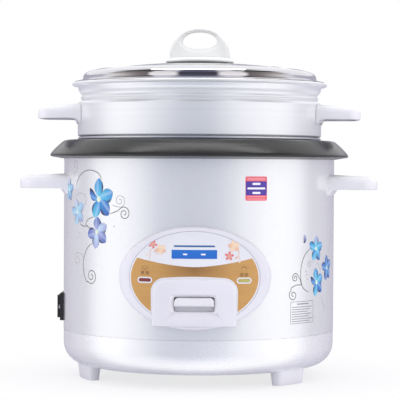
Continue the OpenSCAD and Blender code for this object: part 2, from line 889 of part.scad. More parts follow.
module lid_glass() {
    rings = [0:10:100];
    outer = concat([for (r = rings) [r, dome_z(r, 0)]], [[glass_r, dome_z(glass_r, 0)]]);
    under = [for (r = rings) [r, dome_z(r, glass_t)]];
    inner = concat([[glass_r, dome_z(glass_r, glass_t)]], reversed(under));
    color("#dfe9ee", 0.45) difference() {
        revolve(concat(outer, inner));
        column(3.5, glass_top - 10, glass_top + 2);
        vent_place() cylinder(r = 4.1, h = 20, center = true, $fn = 32);
    }
}

// The vent stands square to the dome, on its +X side.
module vent_place() {
    translate([vent_x, 0, dome_z(vent_x, 0)]) rotate([0, asin(vent_x / dome_R), 0]) children();
}

module steam_vent() {
    color("#c6c8cc") vent_place() difference() {
        union() {
            translate([0, 0, 0.1]) cylinder(r = 8, h = 1.2);
            translate([0, 0, -glass_t - 1.2]) cylinder(r = 4, h = glass_t + 2.4);
            translate([0, 0, -glass_t - 1.3]) cylinder(r = 6.5, h = 1);
        }
        cylinder(r = 2.4, h = 30, center = true, $fn = 32);
    }
}

// A flattened arch, round at its top and straight across its bottom.
function loop(w, h, z, power, n = 24) =
    [for (i = [0:n]) let (a = 180 * i / n, c = cos(a))
        [w * sign(c) * pow(abs(c), power), z + h * pow(sin(a), power)]];

module lid_knob() {
    knob_r = 31;
    hole = concat(
        loop(16.7, 10.4, knob_loop_z + 17.6, 0.8, 16),
        [for (p = reversed(loop(16.7, 6.4, 0, 0.8, 16))) [p[0], knob_loop_z + 17.6 - p[1]]]
    );
    color("#eeeef2") difference() {
        union() {
            revolve([
                [0, knob_z], [knob_base_r, knob_z], [knob_base_r, knob_loop_z - 1.2],
                [knob_r, knob_loop_z], [0, knob_loop_z]
            ]);
            rotate([90, 0, 0]) translate([0, 0, -9]) linear_extrude(height = 18) difference() {
                polygon(loop(knob_w, knob_h + 0.5, knob_loop_z - 0.5, 0.8));
                polygon(hole);
            }
        }
        column(2.5, knob_z - 1, knob_loop_z + 8);
    }
}

module knob_washer() {
    color("#d0d0d0") tube(12, 2.6, glass_top - glass_t - 1.2, glass_top - glass_t - 0.25);
}

module knob_screw() {
    under = glass_top - glass_t - 1.2;
    color("#a9adb3") {
        column(2.5, under - 1, knob_loop_z + 6);
        column(5, under - 2.4, under);
    }
}

outer_shell();
base_bowl();
bottom_cover();
feet();
collar_ring();
inner_liner();
liner_posts();
base_screws();
liner_screws();
body_handle_left();
body_handle_right();
handle_screws();
panel_bezel();
panel_film();
switch_surround();
cook_lens();
warm_lens();
lamp_holder();
indicator_lamps();
inlet_socket();
inlet_pins();
inlet_screws();
wiring();
thermal_fuse();
heating_plate();
plate_screws();
heater_terminals();
keep_warm_thermostat();
thermostat_sleeve();
sensor_spring();
sensor_cap();
sensor_ferrite();
magnet();
magnet_rod();
magnet_spring();
lever_bracket();
lever_pin();
lever_arm();
switch_paddle();
microswitch();
microswitch_button();
inner_pot();
steamer_basket();
steamer_handle_left();
steamer_handle_right();
steamer_brackets();
steamer_rivets();
lid_rim();
lid_glass();
lid_gasket();
lid_knob();
knob_washer();
knob_screw();
steam_vent();
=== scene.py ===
# %% [markdown]
# # A rice cooker with a stacked steamer
#
# The measured frame comes first. Every node of the cooker is already in its real place, in metres, with Z
# up and the front towards -Y. What follows only adds to it: smoother shapes where a hand or an eye would
# notice them, printed decoration, and a finish for every surface. Lengths below are in millimetres, as on a
# drawing.

# %% Load the measured frame
import math

import bmesh
import bpy
import numpy as np
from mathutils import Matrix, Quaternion, Vector
from mathutils.geometry import delaunay_2d_cdt


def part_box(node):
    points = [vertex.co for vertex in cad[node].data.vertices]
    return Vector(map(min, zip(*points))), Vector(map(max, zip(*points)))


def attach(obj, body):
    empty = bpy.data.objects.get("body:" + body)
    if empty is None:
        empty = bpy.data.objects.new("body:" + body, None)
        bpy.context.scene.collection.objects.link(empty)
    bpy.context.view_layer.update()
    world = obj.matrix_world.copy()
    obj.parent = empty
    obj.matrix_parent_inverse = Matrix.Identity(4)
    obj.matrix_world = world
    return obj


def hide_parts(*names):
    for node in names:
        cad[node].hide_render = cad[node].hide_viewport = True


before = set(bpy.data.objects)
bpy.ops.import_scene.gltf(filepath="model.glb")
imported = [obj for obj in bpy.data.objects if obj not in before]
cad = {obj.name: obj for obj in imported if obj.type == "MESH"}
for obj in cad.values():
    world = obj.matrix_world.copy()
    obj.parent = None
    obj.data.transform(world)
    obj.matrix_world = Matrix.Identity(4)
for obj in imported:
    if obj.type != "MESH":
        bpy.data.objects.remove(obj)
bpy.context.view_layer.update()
mm = 0.001


# %% [markdown]
# ## Camera
#
# The camera stands well back and uses a long lens, so that upright sides stay upright and the round drum
# doesn't bulge. The eye is level with the upper part of the drum and a touch to its right.

# %% Set up the long lens
eye_turn, eye_distance, eye_height = math.radians(1.66), 1.731, 0.2088
eye = Vector((math.sin(eye_turn) * eye_distance, -math.cos(eye_turn) * eye_distance, eye_height))
look_at = Vector((0.001, 0, 0.1745))
roll = Quaternion((0, 0, 1), math.radians(0.33))

lens = bpy.data.cameras.new("long_lens")
lens.lens = 155.8
camera = bpy.data.objects.new("camera", lens)
camera.location = eye
camera.rotation_euler = ((look_at - eye).to_track_quat("-Z", "Y") @ roll).to_euler()
bpy.context.scene.collection.objects.link(camera)
bpy.context.scene.camera = camera
bpy.context.scene.view_settings.view_transform = "Standard"
print("lens", lens.lens, "mm, eye", [round(c, 3) for c in eye])

# %% [markdown]
# ## Node helpers
#
# Every finish is a small network of shader nodes. `put` adds one node and fills its inputs with numbers or
# with other nodes' outputs. The rest are shorthand for what comes up all the time: sums, a change of range,
# a mix of two colours, sums and parts of vectors, and where a point lies on its object or which way it
# faces.


# %% Add nodes, sums and mixes
def put(tree, kind, values=None, **settings):
    node = tree.nodes.new("ShaderNode" + kind)
    for key, value in settings.items():
        setattr(node, key, value)
    for key, value in (values or {}).items():
        if isinstance(value, bpy.types.NodeSocket):
            tree.links.new(value, node.inputs[key])
        else:
            node.inputs[key].default_value = value
    return node


def calc(tree, operation, a, b=0.0):
    return put(tree, "Math", {0: a, 1: b}, operation=operation).outputs[0]


def plus(tree, a, b):
    return calc(tree, "ADD", a, b)


def times(tree, a, b):
    return calc(tree, "MULTIPLY", a, b)


def ranged(tree, value, low, high, to_low=0.0, to_high=1.0):
    given = {"Value": value, "From Min": low, "From Max": high, "To Min": to_low, "To Max": to_high}
    return put(tree, "MapRange", given).outputs["Result"]


def mixed(tree, share, first, second):
    return put(tree, "Mix", {0: share, 6: first, 7: second}, data_type="RGBA").outputs[2]


def vector_sum(tree, operation, a, b=None, result="Vector"):
    """Vector arithmetic; for SCALE, b is the factor."""
    values = {0: a}
    if b is not None:
        values["Scale" if operation == "SCALE" else 1] = b
    return put(tree, "VectorMath", values, operation=operation).outputs[result]


def parts(tree, vector):
    return put(tree, "SeparateXYZ", {0: vector}).outputs


def own_place(tree):
    return put(tree, "TexCoord").outputs["Object"]


def own_normal(tree):
    return put(tree, "NewGeometry").outputs["Normal"]


def rgb(red, green, blue):
    """A colour as seen on a screen, 0 to 255, in the linear form that shaders use."""
    def linear(c):
        c /= 255
        return c / 12.92 if c <= 0.04045 else ((c + 0.055) / 1.055) ** 2.4
    return (linear(red), linear(green), linear(blue), 1.0)


print("node helpers are ready")

# %% [markdown]
# ## Studio light
#
# A glossy white appliance shows nothing but the room around it, so the room is drawn first, as a world
# colour that depends on the direction of the ray. Level rays see a wall that is cool and dim behind the
# camera, white at the sides and grey behind the cooker: that draws the soft bands down the drum. The dim
# part hangs a little to one side, so the bands aren't centred. Rays that go up at a slant see two white
# cards on a darker ceiling in front and plain white behind, which only the lid's polished rim is sharp
# enough to show. The camera itself sees plain white.

# %% Draw the room
room = bpy.data.worlds.new("studio")
room.use_nodes = True
bpy.context.scene.world = room
tree = room.node_tree
tree.nodes.clear()


def ramp(tree, place, stops):
    """A smooth run of colours; each stop is (place, red, green, blue)."""
    node = put(tree, "ValToRGB", {0: place})
    while len(node.color_ramp.elements) < len(stops):
        node.color_ramp.elements.new(0.5)
    for element, (spot, *colour) in zip(node.color_ramp.elements, stops):
        element.position, element.color = spot, rgb(*colour)
    return node.outputs[0]


wall_stops = [(0.0, 170, 175, 189), (0.05, 184, 189, 202), (0.14, 232, 233, 238), (0.26, 250, 250, 252),
              (0.38, 255, 255, 255), (0.52, 246, 246, 248), (0.66, 192, 190, 200), (0.78, 186, 184, 195),
              (0.9, 176, 174, 187)]
low_card_stops = [(0.10, 70, 68, 80), (0.125, 246, 240, 240), (0.26, 246, 242, 242), (0.285, 112, 106, 108),
                  (0.36, 124, 116, 114), (0.5, 170, 162, 158)]
high_card_stops = [(0.0, 104, 107, 126), (0.12, 122, 124, 142), (0.17, 228, 226, 232), (0.24, 220, 218, 224),
                   (0.30, 70, 66, 68), (0.6, 64, 62, 64)]
most_swing = 0.11
white = rgb(255, 255, 255)

ray = put(tree, "TexCoord").outputs["Generated"]
aim = parts(tree, ray)
swing = ranged(tree, aim["Y"], -1.0, 0.0, most_swing, 0.0)
swung = put(tree, "VectorRotate", {"Vector": ray, "Angle": swing}, rotation_type="Z_AXIS").outputs[0]
level_wall = ramp(tree, ranged(tree, parts(tree, swung)["Y"], -1, 1), wall_stops)
bearing = calc(tree, "ARCTAN2", aim["X"], times(tree, aim["Y"], -1.0))
half_turn = calc(tree, "DIVIDE", calc(tree, "ABSOLUTE", bearing), math.pi)
cards = mixed(tree, ranged(tree, aim["Z"], 0.5, 0.62), ramp(tree, half_turn, low_card_stops),
              ramp(tree, half_turn, high_card_stops))
ceiling = mixed(tree, ranged(tree, aim["Y"], 0.05, 0.3), cards, rgb(250, 250, 252))
rays = put(tree, "LightPath").outputs
slanting = mixed(tree, rays["Is Glossy Ray"], white, ceiling)
seen_room = mixed(tree, ranged(tree, aim["Z"], 0.17, 0.23), level_wall, slanting)
wall = put(tree, "Background", {"Color": seen_room, "Strength": 1.14})
backdrop = put(tree, "Background", {"Color": white, "Strength": 1.0})
both = put(tree, "MixShader", {0: rays["Is Camera Ray"], 1: wall.outputs[0], 2: backdrop.outputs[0]})
put(tree, "OutputWorld", {"Surface": both.outputs[0]})
print("the wall has", len(wall_stops), "tones, the cards", len(low_card_stops) + len(high_card_stops))

# %% [markdown]
# Three softboxes add direction. The two at the sides only light matt surfaces, because their square
# reflections would break the drum's bands. The long one hangs overhead, and the collar's slope shows it as
# a bright line.


# %% Hang the softboxes
def softbox(name, place, aim, size, watts, mirrored=False):
    light = bpy.data.lights.new(name, "AREA")
    light.shape, light.size, light.size_y, light.energy = "RECTANGLE", size[0], size[1], watts
    lamp = bpy.data.objects.new(name, light)
    lamp.location = place
    lamp.rotation_euler = (Vector(aim) - Vector(place)).to_track_quat("-Z", "Y").to_euler()
    lamp.visible_camera, lamp.visible_glossy = False, mirrored
    bpy.context.scene.collection.objects.link(lamp)


softbox("softbox_left", (-1.9, -0.75, 0.35), (0, 0, 0.15), (0.75, 1.5), 8)
softbox("softbox_right", (1.9, -0.75, 0.35), (0, 0, 0.15), (0.75, 1.5), 10)
softbox("softbox_top", (0, -0.04, 1.9), (0, -0.04, 0.25), (2.2, 0.32), 9, mirrored=True)
print("3 softboxes hung")

# %% [markdown]
# ## Floor
#
# The cooker stands on a pale sweep. The floor is a disc that fades into the white backdrop, so there is no
# horizon, and only a faint contact shadow stays under the feet. Seen from below it is clear, so the base
# can be looked at. Reflections pass it by, so the base bowl shows the same bands as the drum.

# %% Lay the floor disc
floor_r, floor_sides, fade_from, fade_to = 1.6, 96, 0.12, 0.34
floor_mesh = bpy.data.meshes.new("floor")
rim = [(math.cos(a) * floor_r, math.sin(a) * floor_r, -0.0002)
       for a in (i * math.tau / floor_sides for i in range(floor_sides))]
floor_mesh.from_pydata(rim, [], [list(range(floor_sides))])
floor = bpy.data.objects.new("floor", floor_mesh)
bpy.context.scene.collection.objects.link(floor)
floor.visible_glossy = False

sweep = bpy.data.materials.new("pale_sweep")
sweep.use_nodes = True
tree = sweep.node_tree
tree.nodes.clear()
away = vector_sum(tree, "LENGTH", own_place(tree), result="Value")
seen_directly = put(tree, "LightPath").outputs["Is Camera Ray"]
paper = put(tree, "BsdfDiffuse", {"Color": rgb(226, 226, 232)})
glow = put(tree, "Emission", {"Color": white, "Strength": 1.0})
fade = times(tree, seen_directly, ranged(tree, away, fade_from, fade_to, 0.72, 1.0))
top = put(tree, "MixShader", {0: fade, 1: paper.outputs[0], 2: glow.outputs[0]})
clear = put(tree, "BsdfTransparent")
under = put(tree, "NewGeometry").outputs["Backfacing"]
sides = put(tree, "MixShader", {0: under, 1: top.outputs[0], 2: clear.outputs[0]})
put(tree, "OutputMaterial", {"Surface": sides.outputs[0]})
floor_mesh.materials.append(sweep)
print("the floor fades from", fade_from, "m to", fade_to, "m out")

# %% [markdown]
# ## Effects that several finishes share
#
# Four effects come back in many finishes, so each is one node group with named inputs and outputs:
#
# * **moulded grain**: the fine stipple and the slow waviness that a mould leaves in plastic;
# * **spun lines**: the rings that a lathe or a polishing wheel leaves round a turned part;
# * **flake**: the tiny mica chips in pearl paint, each with its own tone and tilt;
# * **dust and touch**: dust that settles on faces that look up, and the greasy veil where fingers have been.


# %% Start a node group
def new_group(name, inputs, outputs):
    group = bpy.data.node_groups.new(name, "ShaderNodeTree")
    for label, start in inputs.items():
        group.interface.new_socket(label, in_out="INPUT", socket_type="NodeSocketFloat").default_value = start
    for label, kind in outputs.items():
        group.interface.new_socket(label, in_out="OUTPUT", socket_type="NodeSocket" + kind)
    print("group", name, "gives", ", ".join(outputs))
    return group, group.nodes.new("NodeGroupInput").outputs, group.nodes.new("NodeGroupOutput").inputs


def noise(tree, vector, scale, detail=3.0):
    return put(tree, "TexNoise", {"Vector": vector, "Scale": scale, "Detail": detail}).outputs[0]


def line_noise(tree, place, scale, detail):
    values = {"W": place, "Scale": scale, "Detail": detail}
    return put(tree, "TexNoise", values, noise_dimensions="1D").outputs[0]


moulded_grain, given, wanted = new_group(
    "moulded_grain", {"Stipple per metre": 1400.0, "Waves per metre": 14.0},
    {"Height": "Float", "Waviness": "Float"})
tree = moulded_grain
spot = own_place(tree)
stipple = noise(tree, spot, given["Stipple per metre"], 2.0)
waves = noise(tree, spot, given["Waves per metre"], 1.0)
tree.links.new(plus(tree, times(tree, stipple, 0.35), waves), wanted["Height"])
tree.links.new(waves, wanted["Waviness"])

# %% Spun lines
spun_lines, given, wanted = new_group(
    "spun_lines", {"Lines per metre": 2600.0}, {"Height": "Float", "Streaks": "Float"})
tree = spun_lines
spot = parts(tree, own_place(tree))
squares = plus(tree, times(tree, spot["X"], spot["X"]), times(tree, spot["Y"], spot["Y"]))
reach = plus(tree, calc(tree, "SQRT", squares), times(tree, spot["Z"], 1.7))
fine = line_noise(tree, reach, given["Lines per metre"], 2.0)
broad = line_noise(tree, reach, 160.0, 1.0)
tree.links.new(fine, wanted["Height"])
tree.links.new(plus(tree, times(tree, fine, 0.4), times(tree, broad, 0.6)), wanted["Streaks"])

# %% Flake
flake, given, wanted = new_group(
    "flake", {"Chips per metre": 2200.0, "Tilt": 0.1}, {"Tone": "Float", "Normal": "Vector"})
tree = flake
cells = put(tree, "TexVoronoi", {"Vector": own_place(tree), "Scale": given["Chips per metre"]})
chips = cells.outputs["Color"]
centred = vector_sum(tree, "SUBTRACT", chips, (0.5, 0.5, 0.5))
leaning = vector_sum(tree, "SCALE", centred, given["Tilt"])
turned = vector_sum(tree, "ADD", own_normal(tree), leaning)
tree.links.new(vector_sum(tree, "NORMALIZE", turned), wanted["Normal"])
tree.links.new(put(tree, "SeparateColor", {0: chips}).outputs[0], wanted["Tone"])

# %% Dust and touch
dust_and_touch, given, wanted = new_group(
    "dust_and_touch", {"Dust": 0.1, "Touch": 0.2}, {"Dust": "Float", "Touch": "Float"})
tree = dust_and_touch
spot = own_place(tree)
looks_up = ranged(tree, parts(tree, own_normal(tree))["Z"], 0.35, 0.95)
settled = times(tree, looks_up, ranged(tree, noise(tree, spot, 90.0, 4.0), 0.35, 0.75))
fingers = ranged(tree, noise(tree, spot, 26.0, 3.0), 0.52, 0.72)
tree.links.new(times(tree, settled, given["Dust"]), wanted["Dust"])
tree.links.new(times(tree, fingers, given["Touch"]), wanted["Touch"])

# %% [markdown]
# ## Finishes
#
# A finish is a Principled shader with its own numbers, and the shared effects plugged in where they show:
# the grain or the lines in the bump, the touch in the roughness, the dust in the colour. One function makes
# plastics, a second one metals. Values that are the same all over are set on the shader itself.

finishes = {}
dust_colour = rgb(196, 190, 180)


# %% Start a finish
def start_finish(name, rough, **plain):
    material = bpy.data.materials.new(name)
    material.use_nodes = True
    tree = material.node_tree
    shader = tree.nodes["Principled BSDF"]
    for label, value in {"Roughness": rough, **plain}.items():
        shader.inputs[label].default_value = value
    finishes[name] = material
    return tree, shader.inputs


def effect(tree, group, **values):
    """A shared effect; underscores in the names stand for spaces."""
    spaced = {label.replace("_", " "): value for label, value in values.items()}
    return put(tree, "Group", spaced, node_tree=group).outputs


def add_bump(tree, inputs, height, strength, distance):
    bump = put(tree, "Bump", {"Height": height, "Strength": strength, "Distance": distance})
    tree.links.new(bump.outputs[0], inputs["Normal"])


def wear(tree, inputs, colour, rough, dust, touch, veil):
    """Colour and roughness of a finish, with its dust and touch laid over them."""
    worn = effect(tree, dust_and_touch, Dust=dust, Touch=touch)
    tree.links.new(mixed(tree, worn["Dust"], colour, dust_colour), inputs["Base Color"])
    tree.links.new(plus(tree, rough, times(tree, worn["Touch"], veil)), inputs["Roughness"])


def dimmed(colour, share):
    return tuple(c * share for c in colour[:3]) + (1.0,)


def plastic(name, colour, rough, stipple=1400.0, depth=0.00003, dust=0.08, touch=0.25, **plain):
    tree, inputs = start_finish(name, rough, **plain)
    grain = effect(tree, moulded_grain, Stipple_per_metre=stipple)
    shade = mixed(tree, ranged(tree, grain["Waviness"], 0.35, 0.65), dimmed(colour, 0.93), colour)
    gloss = ranged(tree, grain["Height"], 0.3, 1.0, rough - 0.03, rough + 0.05)
    wear(tree, inputs, shade, gloss, dust, touch, 0.12)
    add_bump(tree, inputs, grain["Height"], 0.6, depth)


def metal(name, colour, rough, lines=2600.0, depth=0.000012, dust=0.05, touch=0.3, streak=0.88, Metallic=1.0):
    tree, inputs = start_finish(name, rough, Metallic=Metallic)
    spun = effect(tree, spun_lines, Lines_per_metre=lines)
    shade = mixed(tree, ranged(tree, spun["Streaks"], 0.35, 0.65), dimmed(colour, streak), colour)
    spread = (1 - streak) / 2
    gloss = ranged(tree, spun["Streaks"], 0.3, 0.7, rough * (1 - spread), rough * (1 + spread))
    wear(tree, inputs, shade, gloss, dust, touch, 0.12)
    add_bump(tree, inputs, spun["Height"], 0.6, depth)


print("finish makers are ready")

# %% [markdown]
# ### Plastics
#
# The handles and panel are ABS: nearly white with a breath of violet, satin rather than shiny. The base
# bowl has a pearly coat that goes with the drum. The collar is a dark, harder plastic that takes a clear
# highlight. Small inner parts are glass-filled nylon, steatite and silicone, which only differ in tone,
# gloss and stipple.

# %% Mix the plastics
coated = {"Coat Weight": 0.35, "Coat Roughness": 0.12}
plastic("white_plastic", rgb(227, 226, 233), 0.34, **coated)
plastic("bowl_plastic", rgb(248, 248, 252), 0.24, depth=0.00001, Metallic=0.6, **coated)
plastic("panel_plastic", rgb(224, 222, 232), 0.34, **coated)
plastic("window_lining", rgb(238, 236, 242), 0.45)
plastic("collar_plastic", rgb(34, 34, 35), 0.24, stipple=1800.0, depth=0.00001, dust=0.01, touch=0.1)
plastic("knob_plastic", rgb(236, 236, 236), 0.4, touch=0.1)
plastic("black_plastic", rgb(34, 34, 38), 0.5, dust=0.2)
plastic("ceramic_white", rgb(226, 222, 212), 0.62, stipple=2600.0, depth=0.00006)
plastic("silicone", rgb(214, 213, 208), 0.55, stipple=900.0)
plastic("wire_sleeve", rgb(226, 214, 190), 0.6, stipple=3200.0, depth=0.0001)
plastic("switch_red", rgb(196, 44, 38), 0.4)
plastic("ferrite", rgb(52, 50, 54), 0.6, stipple=2600.0, depth=0.00005)
print(len(finishes), "plastics and ceramics")

# %% [markdown]
# ### Metals
#
# The steamer and the pot are pressed from aluminium and spun smooth, the lid's rim is mirror-polished
# steel, and the small fixings are zinc-plated. The heating plate is cast, so it is duller and slightly
# pitted.

# %% Mix the metals
metal("steamer_aluminium", rgb(246, 247, 250), 0.34, lines=1800.0, depth=0.000004, streak=0.97, Metallic=0.7)
metal("lid_steel", rgb(226, 226, 230), 0.04, lines=3600.0, depth=0.000004, touch=0.1)
metal("liner_aluminium", rgb(204, 206, 210), 0.38)
metal("zinc_steel", rgb(196, 198, 200), 0.32, lines=4200.0)
metal("spring_steel", rgb(150, 152, 158), 0.28, lines=5200.0)
metal("brass_pins", rgb(214, 178, 104), 0.26, lines=4200.0)
metal("cast_plate", rgb(186, 188, 190), 0.42, lines=1200.0, depth=0.00004, dust=0.12)
print(len(finishes), "finishes so far")

# %% [markdown]
# ### Pearl paint
#
# The drum is steel under a silvery white paint with mica in it. The chips are far too small to see one by
# one; they make the paint glitter a little and soften the reflections in it. So the base is partly metallic
# and satin, each chip has its own tone and lean, and a clear coat on top carries the sharper shine.

# %% Mix the pearl paint
tree, inputs = start_finish("pearl_paint", 0.3, Metallic=0.6, **{"Coat Weight": 0.5, "Coat Roughness": 0.1})
chips = effect(tree, flake, Tilt=0.006)
pearl = mixed(tree, chips["Tone"], rgb(232, 233, 236), rgb(240, 240, 243))
wear(tree, inputs, pearl, 0.19, 0.02, 0.1, 0.1)
tree.links.new(chips["Normal"], inputs["Normal"])
print("pearl paint mixed")

# %% [markdown]
# ### Pot
#
# The pot is bare spun aluminium outside and on its rolled rim, and has a grey non-stick coating inside. One
# mesh holds both. Where a face looks towards the axis, or up from the pot's floor, it is coated.

# %% Split the pot between metal and coating
tree, inputs = start_finish("pot_coating", 0.3)
spun = effect(tree, spun_lines, Lines_per_metre=2200.0)
grain = effect(tree, moulded_grain, Stipple_per_metre=3000.0)
rolled_rim = 0.0035
spot, facing = own_place(tree), own_normal(tree)
from_axis = vector_sum(tree, "NORMALIZE", vector_sum(tree, "MULTIPLY", spot, (1, 1, 0)))
outward = vector_sum(tree, "DOT_PRODUCT", from_axis, facing, "Value")
upward = parts(tree, facing)["Z"]
below_rim = calc(tree, "LESS_THAN", parts(tree, spot)["Z"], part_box("inner_pot")[1].z - rolled_rim)
looks_in = calc(tree, "LESS_THAN", outward, times(tree, upward, 0.9))
not_under = calc(tree, "GREATER_THAN", upward, -0.4)
coated_part = times(tree, below_rim, times(tree, looks_in, not_under))
speckled = mixed(tree, ranged(tree, grain["Height"], 0.5, 0.8), rgb(58, 58, 62), rgb(74, 74, 78))
bare = mixed(tree, ranged(tree, spun["Streaks"], 0.35, 0.65), rgb(214, 216, 222), rgb(236, 238, 242))
tree.links.new(mixed(tree, coated_part, bare, speckled), inputs["Base Color"])
tree.links.new(calc(tree, "SUBTRACT", 1.0, times(tree, coated_part, 0.85)), inputs["Metallic"])
tree.links.new(ranged(tree, coated_part, 0, 1, 0.3, 0.46), inputs["Roughness"])
add_bump(tree, inputs, spun["Height"], 0.5, 0.00001)
print("the pot is coated inside")

# %% [markdown]
# ### Clear and coloured glass
#
# The lid's dome is tempered glass, faintly green. The two lamp lenses are dyed acrylic over a neon lamp.
# They are off here, so they only need a deep colour and a wet shine.


# %% Mix the glass and the lenses
def see_through(name, colour, rough, **plain):
    tree, inputs = start_finish(name, rough, **plain)
    wear(tree, inputs, colour, rough, 0.05, 0.5, 0.04)


wet = {"Coat Weight": 1.0, "Coat Roughness": 0.03}
see_through("lid_glass", rgb(244, 250, 247), 0.0, **{"Transmission Weight": 1.0, "IOR": 1.5})
see_through("lamp_glass", rgb(255, 226, 196), 0.02, **{"Transmission Weight": 0.7, "IOR": 1.45})
see_through("red_lens", rgb(116, 12, 22), 0.08, **wet)
see_through("amber_lens", rgb(178, 168, 84), 0.08, **wet)
print("glass, lamps and lenses mixed")

# %% [markdown]
# ### Print
#
# All decoration is printed ink or film. A coloured print takes its colour from the mesh, where each petal
# or stripe is tinted point by point, and a fine screen of dots breaks it up as in real screen printing. The
# gold field on the panel is a brushed foil, so its brightness runs in short horizontal streaks, and it is
# darker in the middle of its upper edge.

# %% Mix the inks and the foil
tree, inputs = start_finish("ink", 0.34, **{"Coat Weight": 0.4, "Coat Roughness": 0.15})
tint = put(tree, "VertexColor", layer_name="tint").outputs["Color"]
grain = effect(tree, moulded_grain, Stipple_per_metre=3600.0)
screen = ranged(tree, grain["Height"], 0.4, 0.9, 0.92, 1.0)
tree.links.new(vector_sum(tree, "SCALE", tint, screen), inputs["Base Color"])
tree.links.new(ranged(tree, grain["Waviness"], 0.3, 0.7, 0.3, 0.4), inputs["Roughness"])

tree, inputs = start_finish("gold_foil", 0.38, Metallic=0.35, **{"Coat Weight": 0.3, "Coat Roughness": 0.2})
spot = own_place(tree)
stretched = put(tree, "Mapping", {"Vector": spot, "Scale": (40.0, 40.0, 2600.0)}).outputs[0]
brushed = noise(tree, stretched, 1.0, 3.0)
axis = parts(tree, spot)
centre = calc(tree, "SUBTRACT", 1.0, ranged(tree, calc(tree, "ABSOLUTE", axis["X"]), 0.0, 0.034))
upper = times(tree, centre, ranged(tree, axis["Z"], 0.098, 0.112))
foil = mixed(tree, upper, rgb(206, 158, 94), rgb(152, 112, 66))
streaked = mixed(tree, ranged(tree, brushed, 0.35, 0.65, 0.0, 0.35), foil, rgb(184, 134, 76))
tree.links.new(streaked, inputs["Base Color"])
tree.links.new(ranged(tree, brushed, 0.3, 0.7, 0.32, 0.46), inputs["Roughness"])
add_bump(tree, inputs, brushed, 0.4, 0.00001)

plastic("fascia_film", rgb(224, 225, 233), 0.26, stipple=2600.0, depth=0.00001, **coated)
print(len(finishes), "finishes in all")

# %% [markdown]
# ## Mesh helpers
#
# `build` turns points in millimetres into a closed mesh, rounds its shading except across sharp corners,
# gives it a finish, and lets it ride on one of the cooker's bodies. `loft` joins a stack of closed loops,
# as a lofted surface does, and caps both ends.


# %% Turn points and faces into pieces
def build(name, points, faces, finish, body="root", slot=None, stands_for=(), tints=None, crisp=32):
    mesh = bpy.data.meshes.new(name)
    mesh.from_pydata([[c * mm for c in p] for p in points], [], faces)
    if tints:
        layer = mesh.color_attributes.new("tint", "FLOAT_COLOR", "POINT")
        layer.data.foreach_set("color", np.array(tints, np.float32).ravel())
    shape = bmesh.new()
    shape.from_mesh(mesh)
    bmesh.ops.remove_doubles(shape, verts=shape.verts, dist=0.002 * mm)
    bmesh.ops.dissolve_degenerate(shape, edges=shape.edges, dist=0.001 * mm)
    bmesh.ops.recalc_face_normals(shape, faces=shape.faces)
    open_edges = sum(not e.is_manifold for e in shape.edges)
    shape.to_mesh(mesh)
    shape.free()
    for face in mesh.polygons:
        face.use_smooth = True
    mesh.set_sharp_from_angle(angle=math.radians(crisp))
    mesh.materials.append(finishes[finish])
    piece = bpy.data.objects.new(name, mesh)
    bpy.context.scene.collection.objects.link(piece)
    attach(piece, body)
    slot or finish
    if stands_for:
        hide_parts(*stands_for)
    print(f"{name}: {len(mesh.polygons)} faces, {open_edges} open edges")


def loft(loops, closed=False):
    n = len(loops[0])
    points = [p for loop in loops for p in loop]
    pairs = [(i, (i + 1) % len(loops)) for i in range(len(loops) if closed else len(loops) - 1)]
    faces = [(a * n + k, a * n + (k + 1) % n, b * n + (k + 1) % n, b * n + k)
             for a, b in pairs for k in range(n)]
    if not closed:
        faces += [list(range(n))[::-1], [len(points) - n + k for k in range(n)]]
    return points, faces


def arc(centre_x, centre_y, radius, start, end, steps):
    turns = (math.radians(start + (end - start) * i / steps) for i in range(steps + 1))
    return [(centre_x + radius * math.cos(a), centre_y + radius * math.sin(a)) for a in turns]


print("mesh helpers are ready")

# %% [markdown]
# ## Sheets that follow a surface
#
# The panel and every print are flat drawings laid on a round drum. `sheet` fills a drawing with small
# triangles, gives it a front and a back face, and lays it in place. The drawing may have cuts in it. How
# deep the front lies can depend on the distance to the nearest edge, which is how rounded edges and crowned
# lenses are made.


# %% Fill outlines with triangles
def inside(flat, outline):
    """Even-odd test of many flat points against one closed outline."""
    x, y = flat[:, 0], flat[:, 1]
    odd = np.zeros(len(flat), bool)
    for (ax, ay), (bx, by) in zip(outline, outline[1:] + outline[:1]):
        if ay != by:
            odd ^= ((ay > y) != (by > y)) & (x < ax + (y - ay) * (bx - ax) / (by - ay))
    return odd


def edge_distance(flat, outlines):
    best = np.full(len(flat), np.inf)
    for line in outlines:
        ends = np.array(line, float)
        for p, q in zip(ends, np.roll(ends, -1, 0)):
            run = q - p
            along = np.clip(((flat - p) @ run) / max(run @ run, 1e-12), 0, 1)
            best = np.minimum(best, np.linalg.norm(flat - p - along[:, None] * run, axis=1))
    return best


def is_kept(flat, outline, cuts):
    kept = inside(flat, outline)
    for cut in cuts:
        kept &= ~inside(flat, cut)
    return kept


def divided(outline, step):
    """The same outline with no edge longer than the step, so that it can follow a curved wall."""
    result = []
    for (ax, ay), (bx, by) in zip(outline, outline[1:] + outline[:1]):
        count = max(1, math.ceil(math.hypot(bx - ax, by - ay) / step))
        result += [(ax + (bx - ax) * i / count, ay + (by - ay) * i / count) for i in range(count)]
    return result


